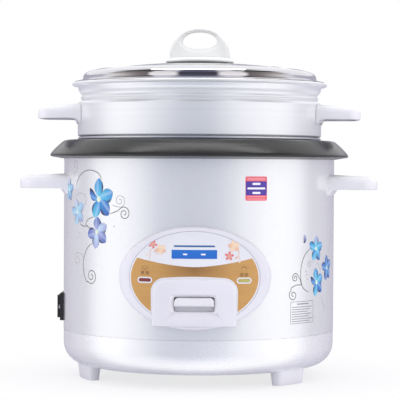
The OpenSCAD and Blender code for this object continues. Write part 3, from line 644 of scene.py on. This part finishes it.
def triangles(outline, cuts, spacing, guides=()):
    lines = [outline, *cuts, *guides]
    corners = np.array([p for line in lines for p in line], float)
    edges, start = [], 0
    for line in lines:
        edges += [(start + i, start + (i + 1) % len(line)) for i in range(len(line))]
        start += len(line)
    low, high = np.array(outline).min(0), np.array(outline).max(0)
    rows = np.arange(low[1], high[1], spacing * 0.866)
    grid = np.array([(x, y) for k, y in enumerate(rows)
                     for x in np.arange(low[0] + (k % 2) * spacing / 2, high[0], spacing)]).reshape(-1, 2)
    grid = grid[is_kept(grid, outline, cuts)]
    if len(grid):
        grid = grid[edge_distance(grid, lines) > 0.4 * spacing]
    every = [Vector(p) for p in [*corners, *grid]]
    spots, _, faces, *_ = delaunay_2d_cdt(every, edges, [], 0, 1e-4)
    flat = np.array([s[:] for s in spots])
    middles = np.array([flat[list(f)].mean(0) for f in faces])
    return flat, [tuple(f) for f, kept in zip(faces, is_kept(middles, outline, cuts)) if kept]


def sheet(outline, cuts, place, spacing, front, back, guides=()):
    """Points, faces and flat places of a closed sheet; front and back take (u, v, edge distance)."""
    outline = divided(outline, spacing)
    cuts, guides = ([divided(line, spacing) for line in lines] for lines in (cuts, guides))
    flat, faces = triangles(outline, cuts, spacing, guides)
    used = sorted({i for f in faces for i in f})
    number = {old: new for new, old in enumerate(used)}
    flat = flat[used]
    faces = [tuple(number[i] for i in f) for f in faces]
    edge = edge_distance(flat, [outline, *cuts])
    n = len(flat)
    points = [place(u, v, front(u, v, e)) for (u, v), e in zip(flat, edge)]
    points += [place(u, v, back(u, v, e)) for (u, v), e in zip(flat, edge)]
    directed = {(f[i], f[(i + 1) % 3]) for f in faces for i in range(3)}
    walls = [(b, a, a + n, b + n) for a, b in directed if (b, a) not in directed]
    return points, faces + [tuple(i + n for i in f[::-1]) for f in faces] + walls, flat


def constant(depth):
    return lambda u, v, edge: depth


def round_over(edge, radius):
    """How far a rounded edge has fallen back, at some distance in from that edge."""
    turn = max(0.0, 1 - edge / radius)
    return radius * (1 - math.sqrt(max(0.0, 1 - turn * turn)))


print("outlines can be filled and laid on a surface")

# %% [markdown]
# ## Drawing places
#
# Two ways to lay a drawing on the drum. Prints on the drum are wrapped, so `u` is the length of the arc
# from the front. The panel is moulded to be looked at from the front, so there `u` is plain sideways
# distance.


# %% Wrap or project a drawing
drum_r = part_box("outer_shell")[1].x / mm
panel_z = 104.8
film_r = 139.0


def on_drum(u, v, depth):
    turn = u / drum_r
    return ((drum_r - depth) * math.sin(turn), -(drum_r - depth) * math.cos(turn), v)


def on_panel(u, v, depth):
    return (u, -math.sqrt(max((film_r - depth) ** 2 - u * u, 1.0)), v)


def ellipse(half_u, half_v, steps=120, centre=(0.0, panel_z)):
    turns = (math.tau * i / steps for i in range(steps))
    return [(centre[0] + half_u * math.cos(a), centre[1] + half_v * math.sin(a)) for a in turns]


def rounded_box(u0, u1, v0, v1, radius, steps=6):
    r = min(radius, (u1 - u0) / 2, (v1 - v0) / 2)
    return (arc(u1 - r, v0 + r, r, -90, 0, steps) + arc(u1 - r, v1 - r, r, 0, 90, steps)
            + arc(u0 + r, v1 - r, r, 90, 180, steps) + arc(u0 + r, v0 + r, r, 180, 270, steps))


print("the drum's radius is", round(drum_r, 2), "mm")

# %% [markdown]
# ## Panel frame
#
# An oval moulding frames the panel. It rises off the drum in a soft quarter round, runs nearly flat, and
# drops a hair at its inner lip, where the printed film lies. The section is swept round the oval; it is
# wider at the sides than above and below, so each point of the section is measured as a share of the local
# width.

# %% Sweep the oval frame
film_half = (60.8, 43.6)
frame_half = (71.3, 48.1)
frame_steps = 160
round_turns = [math.radians(9 * i) for i in range(1, 11)]
section = [(0.0, 134.0)] + [(0.42 * (1 - math.cos(a)), 134.6 + 4.9 * math.sin(a)) for a in round_turns]
section += [(0.6, 139.6), (0.78, 139.55), (0.9, 139.45), (0.96, 139.3), (1.0, 138.9), (1.0, 137.6),
            (0.85, 134.9)]
loops = []
for i in range(frame_steps):
    turn = math.tau * i / frame_steps
    loops.append([])
    for share, radius in section:
        half_u, half_v = (outer - (outer - inner) * share for outer, inner in zip(frame_half, film_half))
        u, v = half_u * math.cos(turn), panel_z + half_v * math.sin(turn)
        loops[-1].append((u, -math.sqrt(radius ** 2 - u * u), v))
points, faces = loft(loops, closed=True)
build("panel_frame", points, faces, "panel_plastic", stands_for=["panel_bezel"], crisp=40)

# %% [markdown]
# ## Printed film
#
# The film is one white sheet with three cuts: the arch for the switch housing and the two lamp slots. The
# gold foil is printed over it and stops short of every edge, so a thin white line of bare film stays round
# the foil, the arch and the slots, as a printer leaves it to hide a small misfit.


# %% Cut the film and lay the gold foil on it
def grown(outline, by):
    """A counter-clockwise outline moved outwards by a distance; a negative one moves it inwards."""
    n = len(outline)
    result = []
    for i in range(n):
        before, here, after = (np.array(outline[(i + k) % n], float) for k in (-1, 0, 1))
        run = after - before
        out = np.array((run[1], -run[0])) / max(np.linalg.norm(run), 1e-9)
        result.append(tuple(here + out * by))
    return result


arch_half, arch_top, arch_corner = 39.1, 105.2, 12.0
shoulder_u, shoulder_v = arch_half - arch_corner, arch_top - arch_corner - 1.2
arch = ([(-arch_half, 50.0), (arch_half, 50.0)] + arc(shoulder_u, shoulder_v, arch_corner, 0, 84, 10)
        + [(u, arch_top - 1.1 * (u / 26) ** 2) for u in (22, 16, 10, 5, 0, -5, -10, -16, -22)]
        + arc(-shoulder_u, shoulder_v, arch_corner, 96, 180, 10))
lamp_u, lamp_v = 46.0, 102.8
slots = [rounded_box(u - 5.7, u + 5.7, lamp_v - 1.65, lamp_v + 1.65, 1.6) for u in (-lamp_u, lamp_u)]
oval = ellipse(film_half[0] - 0.15, film_half[1] - 0.15)
points, faces, _ = sheet(oval, [arch, *slots], on_panel, 4.0, constant(0.0), constant(0.6))
build("panel_film_sheet", points, faces, "fascia_film", stands_for=["panel_film"])

wave = [(float(u), 115.4 + 8.6 * (abs(u) / 56.0) ** 1.7) for u in np.linspace(64, -64, 49)]
above_wave = [(80.0, 200.0), (-80.0, 200.0), (-80.0, 127.0)] + wave[::-1] + [(80.0, 127.0)]
gold_oval = ellipse(film_half[0] - 1.5, film_half[1] - 1.5)
gold_cuts = [grown(arch, 1.3), above_wave] + [grown(slot, 1.2) for slot in slots]
points, faces, _ = sheet(gold_oval, gold_cuts, on_panel, 3.0, constant(-0.05), constant(0.1))
build("panel_gold_foil", points, faces, "gold_foil", slot="fascia_film")

# %% [markdown]
# ## Switch housing
#
# The arch-shaped housing stands a little proud of the film. Its face is one skin: rounded over at its edge,
# with a finger pocket that slopes in under the window, and the window cut through it. Below, it runs out
# into the frame. The window's sides are a separate matt lining that narrows towards the paddle.

# %% Shape the housing's face
window = rounded_box(-22.0, 22.0, 73.4, 90.2, 2.6)
pocket_half, pocket_flare, pocket_top, pocket_height, pocket_depth = 21.6, 4.9, 73.6, 7.4, 2.8
pocket = [(-21.6, 73.4), (-26.5, 66.2), (26.5, 66.2), (21.6, 73.4)]
face_rise, face_fall, arch_round = 2.0, 0.9, 3.0


def edge_to_arch(u, v):
    return float(edge_distance(np.array([[u, v]]), [arch])[0])


def housing_depth(u, v, edge):
    rise = face_rise - face_fall * (u / arch_half) ** 2
    rise -= (rise + 0.15) * round_over(edge_to_arch(u, v), arch_round) / arch_round
    low = min(max((pocket_top - v) / pocket_height, 0.0), 1.0)
    reach = pocket_half + pocket_flare * low
    if 66.0 < v < 73.7 and abs(u) < reach:
        rise -= pocket_depth * (1 - low) * min(1.0, (reach - abs(u)) / 1.2)
    return -rise


foot_line = [(u, 60.6) for u in (-arch_half, -30.0, -15.0, 0.0, 15.0, 30.0, arch_half)]
housing = foot_line + arch[2:]
points, faces, _ = sheet(housing, [window], on_panel, 1.5, housing_depth, constant(2.5), guides=[pocket])
build("switch_housing", points, faces, "panel_plastic", stands_for=["switch_surround"], crisp=24)

narrow = rounded_box(-18.8, 18.8, 73.8, 87.5, 2.0)
wide = grown(window, 1.6)
lining = [[(u, y, v) for u, v in line] for line, y in ((window, -139.0), (narrow, -135.8), (narrow, -135.0),
                                                       (wide, -135.0), (wide, -137.2))]
points, faces = loft(lining, closed=True)
build("window_lining", points, faces, "window_lining", slot="panel_plastic")

# %% [markdown]
# ## Paddle
#
# The paddle is the tip of the switch lever. It has a rounded face for the finger, and below it an apron
# that steps back and closes the gap in the window. The apron passes behind the housing when the lever tips.

# %% Shape the paddle
paddle_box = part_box("switch_paddle")
paddle_low, paddle_high = paddle_box[0].z / mm, paddle_box[1].z / mm
paddle_half, paddle_front = paddle_box[1].x / mm, -paddle_box[0].y / mm
apron_low, apron_depth = paddle_low - 5.6, paddle_front - 132.9
paddle_round, top_corner, low_corner = 2.4, 4.2, 1.0


def flat_front(u, v, depth):
    return (u, -paddle_front + depth, v)


def paddle_face(u, v, edge):
    above_step = v - paddle_low - 0.4
    return apron_depth if above_step < 0 else round_over(min(above_step, edge), paddle_round)


low_u, low_v = paddle_half - low_corner, apron_low + low_corner
top_u, top_v = paddle_half - top_corner, paddle_high - top_corner
tip = (arc(low_u, low_v, low_corner, -90, 0, 4) + arc(top_u, top_v, top_corner, 0, 90, 8)
       + arc(-top_u, top_v, top_corner, 90, 180, 8) + arc(-low_u, low_v, low_corner, 180, 270, 4))
step_line = [(side * (paddle_half - 0.02), paddle_low + h)
             for side, h in ((-1, 0.3), (1, 0.3), (1, 0.5), (-1, 0.5))]
points, faces, _ = sheet(tip, [], flat_front, 0.9, paddle_face, constant(10.5), guides=[step_line])
build("lever_paddle", points, faces, "white_plastic", "lever", stands_for=["switch_paddle"], crisp=40)

# %% [markdown]
# ## Lamp lenses
#
# Two slim lenses sit in the slots. Each is crowned, so that it catches one thin highlight along its length.


# %% Crown the two lenses
def crowned(u, v, edge):
    return 0.15 - 0.6 * math.sqrt(min(1.0, edge / 1.6))


for name, node, finish, slot in (("cook_light", "cook_lens", "red_lens", slots[0]),
                                 ("warm_light", "warm_lens", "amber_lens", slots[1])):
    points, faces, _ = sheet(grown(slot, -0.05), [], on_panel, 0.7, crowned, constant(3.0))
    build(name, points, faces, finish, stands_for=[node], crisp=50)

# %% [markdown]
# ## Handles
#
# The four handles are hollow mouldings, open below so that they use little plastic and stay cool. Each is a
# loft of the same rounded plan, stepped in where the edge is rounded over. At the root the underside sweeps
# down into the wall, which stiffens the handle. The steamer's pair is the same shape, a size smaller.


# %% Loft the handles
def ear_plan(inset, reach, root_half, tip_half, corner, wall_r):
    half, end, r = root_half - inset, reach - inset, max(corner - inset, 1.0)
    tip_y = tip_half - inset
    root_x = math.sqrt(wall_r ** 2 - half ** 2)
    shares = [(i / 12) ** 1.6 for i in range(12)]
    side = [(root_x + (end - r - root_x) * share, -half + (half - tip_y) * share) for share in shares]
    bend = arc(end - r, -(tip_y - r), r, -90, 0, 8)
    across = [(end + 0.4 * (1 - (k / 4) ** 2), (tip_y - r) * k / 4) for k in range(-3, 1)]
    half_way = side + bend + across
    limit = math.asin(half / wall_r)
    wall = [(wall_r * math.cos(a), wall_r * math.sin(a)) for a in (limit * (1 - i / 7) for i in range(1, 14))]
    return half_way + [(x, -y) for x, y in half_way[-2::-1]] + wall


def ear(name, node, side, body, wall_r, reach, halves, corner, low, tops, nose, thick, flare):
    """Rows are (inset from the plan, face, height above it), from the hollow's roof out and over the top."""
    def height(x, y, kind, dz):
        away = max(0.0, math.hypot(x, y) - wall_r)
        if kind == "low":
            return low + dz - flare * math.exp(-away / 2.4)
        return tops[0] + (tops[1] - tops[0]) * (x - wall_r) / (reach - wall_r) + dz

    hollow = [(12.0, "top", -thick), (thick + 3.0, "top", -thick), (thick + 0.9, "top", -thick - 0.7),
              (thick, "top", -thick - 2.6), (thick, "low", 1.2), (thick - 0.3, "low", 0.3),
              (thick - 0.9, "low", 0.0)]
    skin = [(0.9, "low", 0.0), (0.3, "low", 0.3), (0.0, "low", 1.2)]
    skin += [(nose * (1 - math.cos(a)), "top", nose * (math.sin(a) - 1))
             for a in (math.radians(10 * i) for i in range(10))]
    skin += [(nose + 5.0, "top", 0.0), (nose + 11.0, "top", 0.0)]
    loops = []
    for rows, gap in ((hollow, 3.0), (skin, 0.0)):
        for inset, kind, dz in rows:
            plan = ear_plan(inset, reach, *halves, corner, wall_r + gap)
            loops.append([(side * x, y, height(x, y, kind, dz)) for x, y in plan])
    points, faces = loft(loops)
    build(name, points, faces, "white_plastic", body, stands_for=[node], crisp=50)


drum_size = dict(wall_r=drum_r - 0.2, reach=176.2, halves=(47.0, 42.0), corner=18.0, low=186.0,
                 tops=(200.3, 198.1), nose=6.5, thick=3.6, flare=6.0)
steamer_size = dict(wall_r=121.6, reach=159.4, halves=(40.0, 34.0), corner=15.0, low=254.7,
                    tops=(268.9, 266.5), nose=6.0, thick=3.4, flare=4.5)
for side, word in ((-1, "left"), (1, "right")):
    ear("drum_ear_" + word, "body_handle_" + word, side, "root", **drum_size)
    ear("steamer_ear_" + word, "steamer_handle_" + word, side, "steamer", **steamer_size)

# %% [markdown]
# ## Lid knob
#
# The knob is a domed loop on a round foot. The loop is cut from a drawing of its front: a half-round
# outline with a lens-shaped hole. Both faces round over towards every edge, so that fingers meet no corner.


# %% Shape the loop and its foot
knob_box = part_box("lid_knob")
foot_low, knob_top = knob_box[0].z / mm, knob_box[1].z / mm
foot_top, knob_half, knob_thick, knob_round = 315.0, 30.0, 9.0, 4.6
hole_v, hole_up, hole_down = 332.2, 9.8, 7.4


def upright(u, v, depth):
    return (u, depth, v)


def dome(half_u, rise, base, power, steps):
    """Half an outline that is fuller than an ellipse when the power is below one."""
    turns = (math.pi * i / steps for i in range(steps + 1))
    return [(half_u * math.copysign(abs(math.cos(a)) ** power, math.cos(a)),
             base + rise * abs(math.sin(a)) ** power) for a in turns]


def knob_bulge(sign):
    def depth(u, v, edge):
        if v < foot_top + 0.5:
            edge = min(knob_round, abs(abs(u) - knob_half))
        return sign * (knob_thick - round_over(edge, knob_round))
    return depth


loop_outline = dome(knob_half, knob_top - foot_top + 1.0, foot_top - 1.0, 0.86, 64)
hole_upper = dome(17.2, hole_up, hole_v, 0.94, 28)
hole_lower = [(-u, hole_v - (v - hole_v) * hole_down / hole_up) for u, v in hole_upper[1:-1]]
hole = hole_upper + hole_lower
points, faces, _ = sheet(loop_outline, [hole], upright, 1.25, knob_bulge(-1), knob_bulge(1))
build("knob_loop", points, faces, "knob_plastic", "lid", crisp=50)

foot_rows = [(0.4, 0.0), (32.8, 0.0), (33.7, 0.5), (34.0, 1.3), (33.8, 2.2), (33.0, 2.9), (31.4, 3.4),
             (30.6, 4.1), (29.0, 4.6), (0.4, 5.0)]
foot_turns = [math.tau * i / 96 for i in range(96)]
points, faces = loft([[(r * math.cos(a), r * math.sin(a), foot_low + rise) for a in foot_turns]
                      for r, rise in foot_rows])
build("knob_foot", points, faces, "knob_plastic", "lid", stands_for=["lid_knob"], crisp=40)

# %% [markdown]
# ## Flowers and vines on the drum
#
# The drum carries two printed sprays. Each flower has five petals, drawn one by one from a midrib and a
# width that swells and closes again. A petal is tinted from its root to its rim, with a light band along it
# and a dark edge on one side and at the tip. Vines are thin ribbons that run through a few points and end
# in a spiral. All of it is a thin skin of ink, wrapped on the drum.


# %% Draw petals
def petal(heart, length, width, turn, bend=0.0):
    """A closed outline; turn is the direction from the heart in degrees, bend curves the midrib."""
    left, right = [], []
    for t in (i / 14 for i in range(15)):
        a = math.radians(turn + bend * (t - 0.5))
        out_u, out_v = math.cos(a), math.sin(a)
        run = length * (0.08 + 0.92 * t)
        half = width * math.sin(math.pi * min(1.0, t ** 1.15 * 0.97 + 0.03)) ** 0.75
        mid_u, mid_v = heart[0] + run * out_u, heart[1] + run * out_v
        left.append((mid_u - half * out_v, mid_v + half * out_u))
        right.append((mid_u + half * out_v, mid_v - half * out_u))
    return right + left[::-1]


def tinted(share, first, second):
    share = min(max(share, 0.0), 1.0)
    return tuple(a + (b - a) * share for a, b in zip(first, second))


class Print:
    """Ink, collected shape by shape and built as one piece. Each new area lies a hair over the last."""

    under, layer_step = 0.25, 0.012

    def __init__(self, place, skin=0.04):
        self.place, self.skin, self.layer = place, skin, 0.0
        self.points, self.faces, self.tints = [], [], []

    def add(self, points, faces, tints):
        start = len(self.points)
        self.points += points
        self.faces += [tuple(i + start for i in f) for f in faces]
        self.tints += tints

    def area(self, outline, colour_at, spacing=2.0, cuts=()):
        self.layer += self.layer_step
        front = constant(-self.skin - self.layer)
        points, faces, flat = sheet(outline, list(cuts), self.place, spacing, front, constant(self.under))
        self.add(points, faces, [colour_at(u, v) for u, v in flat] * 2)

    def line(self, run, width, colour):
        """A ribbon that tapers at both ends."""
        n = len(run)
        points = []
        for i, (u, v) in enumerate(run):
            before, after = run[max(i - 1, 0)], run[min(i + 1, n - 1)]
            du, dv = after[0] - before[0], after[1] - before[1]
            size = max(math.hypot(du, dv), 1e-9)
            half = width / 2 * min(1.0, 0.35 + i / 6, 0.35 + (n - 1 - i) / 6)
            for side, depth in ((1, -self.skin), (-1, -self.skin), (-1, self.under), (1, self.under)):
                points.append(self.place(u - side * half * dv / size, v + side * half * du / size, depth))
        faces = [(4 * i + k, 4 * i + (k + 1) % 4, 4 * i + 4 + (k + 1) % 4, 4 * i + 4 + k)
                 for i in range(n - 1) for k in range(4)]
        faces += [(3, 2, 1, 0), tuple(4 * n - 4 + k for k in range(4))]
        self.add(points, faces, [colour] * len(points))

    def build(self, name, slot):
        build(name, self.points, self.faces, "ink", slot=slot, tints=self.tints, crisp=60)


sky, azure, deep, navy = rgb(76, 190, 222), rgb(16, 136, 208), rgb(12, 88, 178), rgb(10, 32, 92)
mist, lilac, violet = rgb(190, 212, 236), rgb(158, 162, 208), rgb(76, 98, 178)
heart_colour, vine_colour, faint = rgb(220, 230, 208), rgb(112, 118, 110), rgb(176, 174, 178)
drum_white = rgb(232, 234, 242)
print("ink colours mixed")


# %% Draw flowers
def flower(ink, heart, radius, turn, petals, pale=0.0):
    """Petals are (degrees from the turn, length share, width share, bend, rim colour, root colour)."""
    for angle, length, width, bend, rim_colour, root_colour in petals:
        a = math.radians(turn + angle)
        run, half = radius * length, radius * width

        def colour_at(u, v):
            du, dv = u - heart[0], v - heart[1]
            along = (du * math.cos(a) + dv * math.sin(a)) / run
            across = (dv * math.cos(a) - du * math.sin(a)) / half
            colour = tinted(along * 1.3 - 0.2, root_colour, rim_colour)
            colour = tinted(0.16 * math.sin(across * 9.0) * along, colour, mist)
            colour = tinted(0.5 - abs(across - 0.3) * 1.5, colour, mist)
            colour = tinted(max(-0.42 - across, along - 0.9, across - 0.8) * 2.4, colour, navy)
            return tinted(pale, colour, drum_white)

        ink.area(petal(heart, run, half, turn + angle, bend), colour_at, radius / 12)
    ink.area(ellipse(radius * 0.13, radius * 0.15, 18, heart), plain(tinted(pale, heart_colour, drum_white)),
             radius / 8)


def plain(colour):
    return lambda u, v: colour


def at(degrees, height):
    """A place on the drum, in degrees from the front."""
    return (math.radians(degrees) * drum_r, height)


five = [(90, 1.0, 0.31, 0, azure, sky), (16, 0.98, 0.35, 10, azure, sky), (-44, 1.0, 0.34, -10, deep, azure),
        (-112, 0.94, 0.31, 6, sky, azure), (160, 0.84, 0.2, -36, deep, azure)]
soft = [(86, 0.92, 0.34, 0, violet, lilac), (24, 0.96, 0.34, 8, lilac, mist),
        (-34, 1.0, 0.35, -8, violet, lilac), (-100, 1.04, 0.32, 6, lilac, mist),
        (190, 0.92, 0.35, 8, violet, lilac)]
bells = [(90, 1.0, 0.32, 0, lilac, sky), (20, 1.08, 0.36, 10, azure, sky), (-48, 1.05, 0.36, -8, deep, sky),
         (-112, 0.98, 0.34, 6, sky, azure), (164, 1.04, 0.33, -12, azure, sky)]
dark_bells = [(*shape, deep, azure) for *shape, _, _ in bells]

left_spray = Print(on_drum)
flower(left_spray, at(-43.1, 176.6), 20.0, 0, five)
flower(left_spray, at(-44.2, 145.6), 15.5, 0, soft)
flower(left_spray, at(-58.6, 163.8), 13.0, 12, bells, 0.35)
flower(left_spray, at(-67.9, 184.9), 11.0, -8, bells, 0.2)
left_spray.build("left_flowers", "pearl_paint")
right_spray = Print(on_drum)
flower(right_spray, at(58.3, 130.0), 12.5, -6, bells)
flower(right_spray, at(58.8, 97.5), 14.0, 8, five)
flower(right_spray, at(69.0, 110.5), 12.5, 4, dark_bells)
bud = petal(at(49.4, 135.5), 8.5, 2.0, 66, 30)
right_spray.area(bud, lambda u, v: tinted((v - 136) / 6, navy, lilac), 1.2)
right_spray.build("right_flowers", "pearl_paint")


# %% [markdown]
# ### Vines
#
# A vine is drawn through a handful of points with a smooth spline, then rolls up in a spiral whose radius
# shrinks with every turn.


# %% Draw the vines
def through(stations, steps=8):
    """A Catmull-Rom spline through the stations."""
    padded = [stations[0], *stations, stations[-1]]
    run = []
    for p0, p1, p2, p3 in zip(padded, padded[1:], padded[2:], padded[3:]):
        for k in range(steps):
            t = k / steps
            run.append(tuple(
                0.5 * (2 * b + (c - a) * t + (2 * a - 5 * b + 4 * c - d) * t * t
                       + (3 * b - a - 3 * c + d) * t ** 3) for a, b, c, d in zip(p0, p1, p2, p3)))
    return run + [stations[-1]]


def curl(centre, radius, start, turns):
    """Spiral stations from the outside in; turns below zero roll clockwise."""
    count = max(int(abs(turns) * 8), 6)
    stations = []
    for share in (i / count for i in range(count + 1)):
        a = math.radians(start) + math.tau * turns * share
        reach = radius * (1 - 0.86 * share)
        stations.append((centre[0] + reach * math.cos(a), centre[1] + reach * math.sin(a)))
    return stations


vines = Print(on_drum)
# Each run is a list of (degrees, height) and, where it rolls up, (degrees, height, radius, start, turns).
dark_runs = [
    ([(-37, 163), (-33, 166)], (-29.6, 163.6, 6.4, 110, -1.6)),
    ([(-46, 160), (-50, 157), (-51.5, 152), (-47.5, 148)], None),
    ([(-56.5, 153), (-53.5, 150.5), (-50, 151)], None),
    ([(-47, 135), (-51, 128.5), (-53.4, 117), (-53, 106), (-50.8, 98)], (-47.6, 103.4, 7.8, 225, 1.7)),
    ([(-41.5, 195), (-43.4, 201), (-48, 204), (-53, 202.5), (-57.5, 197), (-60, 188)], None),
    ([(54, 131), (50, 124), (47.9, 113), (47.8, 101), (49.4, 93), (53, 89)], None),
    ([(48, 96), (47.4, 101)], (44.4, 103.4, 4.6, 20, 1.6)),
    ([(48.4, 96), (45.4, 96.6), (42.2, 94)], (43.3, 87.2, 5.6, 120, 1.5)),
]
faint_runs = [
    ([(-36, 171.5), (-33, 170)], (-31.8, 175.6, 6.2, -70, 1.6)),
    ([(-52.8, 119), (-55, 123.5)], (-58.4, 118.4, 6.8, 60, 1.5)),
    ([(-60.5, 178), (-57.5, 181.5), (-53.6, 181.5), (-51.4, 176), (-53, 169)], None),
    ([(-63, 197)], (-61, 208.6, 6.6, -95, 1.3)),
    ([(56, 117.5)], (53.4, 115.4, 3.8, 40, 1.4)),
    ([(59, 116.5), (61.5, 113), (62, 106), (61, 101)], None),
    ([(74, 152), (75, 142), (73, 131), (71, 124)], None),
    ([(63, 84), (65.5, 76), (68, 68)], None),
]
for runs, width, ink_colour in ((dark_runs, 0.85, vine_colour), (faint_runs, 0.7, faint)):
    for stations, roll in runs:
        run = [at(*station) for station in stations] + (curl(at(*roll[:2]), *roll[2:]) if roll else [])
        vines.line(through(run), width, ink_colour)
for berry in ((-57, 144), (-58, 139.5), (-34.6, 151.5), (51, 109), (51.6, 105.6), (52, 101.4), (63, 133)):
    vines.area(ellipse(0.8, 0.8, 10, at(*berry)), plain(faint), 0.8)
vines.build("vine_print", "pearl_paint")

# %% [markdown]
# ## Sticker and rating label
#
# A square sticker in two colours sits high on the drum, and an outlined label low on the right. Real ones
# are covered in small type. Here plain bars stand where the lines of type would be.


# %% Lay the sticker and the label
def bars(ink, middle, half, v_from, v_to, count, height, colour, ragged=0.0):
    """A column of plain bars; with a ragged edge they end at different lengths, as lines of type do."""
    for i in range(count):
        v = v_from + (v_to - v_from) * i / max(count - 1, 1)
        end = middle + half - ragged * ((i * 7) % 5) / 5
        bar = rounded_box(middle - half, end, v - height / 2, v + height / 2, height / 2, 3)
        ink.area(bar, plain(colour), 3.0)


coral, pink, plum = rgb(236, 92, 108), rgb(250, 190, 196), rgb(72, 44, 158)
white_ink, grey_ink = rgb(240, 240, 248), rgb(128, 128, 138)
sticker = Print(on_drum, 0.06)
middle = at(25.0, 0)[0]
sticker.area(rounded_box(middle - 11, middle + 11, 176.6, 199.1, 1.4), plain(coral), 3.0)
sticker.area(rounded_box(middle - 10.7, middle + 10.7, 181.6, 194.6, 0.3), plain(plum), 3.0)
bars(sticker, middle, 4.2, 192.2, 183.8, 2, 2.0, white_ink)
bars(sticker, middle, 9.2, 188.0, 188.0, 1, 1.8, white_ink)
bars(sticker, middle, 9.4, 197.4, 195.9, 2, 0.5, pink)
bars(sticker, middle, 9.4, 180.3, 178.2, 2, 0.5, pink)
sticker.build("drum_sticker", "pearl_paint")

label = Print(on_drum, 0.05)
middle = at(49.1, 0)[0]
edge_box = rounded_box(middle - 17, middle + 17, 59.9, 80.9, 1.2)
label.area(edge_box, plain(grey_ink), 3.0, [grown(edge_box, -0.45)])
bars(label, middle + 0.5, 8.5, 78.4, 78.4, 1, 1.0, grey_ink)
bars(label, middle, 15.0, 75.6, 62.2, 7, 0.6, grey_ink, ragged=9.0)
label.build("rating_label", "pearl_paint")

# %% [markdown]
# ## Print on the panel
#
# The white field carries a plain blue bar, and a small spray of two blossoms in gold and pink on each side
# of it. Above each lamp there is a symbol: a pot for cooking and a rising sun for keeping warm.

# %% Lay the panel's print
panel_ink = Print(on_panel, 0.1)
blue_bar = rounded_box(-21.0, 21.0, 123.0, 131.2, 0.5)
panel_ink.area(blue_bar, lambda u, v: tinted((v - 122) / 16, rgb(4, 98, 194), rgb(14, 116, 208)), 3.0)
for u0, u1 in ((-10.5, -6.5), (6.0, 10.5)):
    panel_ink.area(rounded_box(u0, u1, 126.4, 127.8, 0.7), plain(white_ink), 1.5)
bars(panel_ink, 0.0, 19.0, 134.6, 134.6, 1, 1.6, rgb(52, 104, 158))

blush, cream, rose = rgb(232, 176, 146), rgb(240, 212, 184), rgb(222, 84, 122)
gold_petals = [(90 + 72 * k, 0.36, blush if k % 2 else cream, cream) for k in range(5)]
pink_petals = [(54 + 72 * k, 0.26, rose, blush) for k in range(5)]


def blossom(heart, radius, petals, turn):
    for angle, width, rim_colour, root_colour in petals:
        def colour_at(u, v):
            return tinted(math.hypot(u - heart[0], v - heart[1]) / radius, root_colour, rim_colour)

        panel_ink.area(petal(heart, radius, radius * width, turn + angle), colour_at, radius / 4)


leaves = [(4.4, -7.6, 1.6), (7.6, -10.0, 1.2), (-1.0, -9.6, 1.4)]
stem = [(42.5, 121.5), (40.8, 125.6), (41.4, 129.2), (38.6, 132.2)]
for side, upper, lower in ((-1, ((-38.5, 136.0), 4.2, pink_petals), ((-31.0, 131.4), 5.0, gold_petals)),
                           (1, ((36.6, 134.6), 5.6, gold_petals), ((32.2, 125.6), 4.4, pink_petals))):
    blossom(*upper, 10)
    blossom(*lower, 30)
    for k, (du, dv, size) in enumerate(leaves):
        root = (side * (42.0 - du), lower[0][1] + dv + 5.0)
        panel_ink.area(petal(root, size * 2.0, size * 0.5, 40 + 90 * k), plain(cream if k else blush), 1.0)
    panel_ink.line(through([(side * u, v) for u, v in stem]), 0.5, blush)

brown = rgb(122, 84, 44)
sun_v = 113.2
panel_ink.line(arc(-lamp_u, 116.0, 3.2, 200, 340, 10), 0.6, brown)
panel_ink.line([(-lamp_u + u, 115.4) for u in (-3.2, 0.0, 3.2)], 0.6, brown)
panel_ink.line(arc(lamp_u, sun_v, 2.3, -20, 200, 10), 0.6, brown)
for a in (math.radians(18 + 36 * k) for k in range(5)):
    beam = [(lamp_u + r * math.cos(a), sun_v + r * math.sin(a)) for r in (3.2, 3.9, 4.6)]
    panel_ink.line(beam, 0.5, brown)
for side, v in ((-1, 109.6), (1, 108.2)):
    for shift in (-2.2, 2.2):
        bars(panel_ink, side * lamp_u + shift, 1.5, v + 1.2, v - 1.2, 3, 0.45, brown)
panel_ink.build("panel_print", "fascia_film")

# %% [markdown]
# ## Finishes for the measured nodes
#
# Everything that wasn't replaced keeps its measured mesh and takes the finish that carries its slot's name.
# Pressed and moulded parts never have a knife edge, so the small blocky ones get a narrow bevel as a
# modifier, which leaves their measured mesh untouched.

# %% Dress the measured nodes
for node in cad.values():
    for holder in node.material_slots:
        holder.material = finishes[holder.material.name.split(".")[0]]

for name in ("inlet_socket", "lever_bracket", "lever_arm", "microswitch", "lamp_holder", "feet",
             "steam_vent"):
    weld = cad[name].modifiers.new("weld", "WELD")
    weld.merge_threshold = 0.005 * mm
    bevel = cad[name].modifiers.new("bevel", "BEVEL")
    bevel.width, bevel.segments, bevel.limit_method = 0.35 * mm, 2, "ANGLE"
    bevel.angle_limit = math.radians(40)
used = {node.material_slots[0].material.name for node in cad.values()}
print("dressed", len(cad), "nodes in", len(used), "finishes")
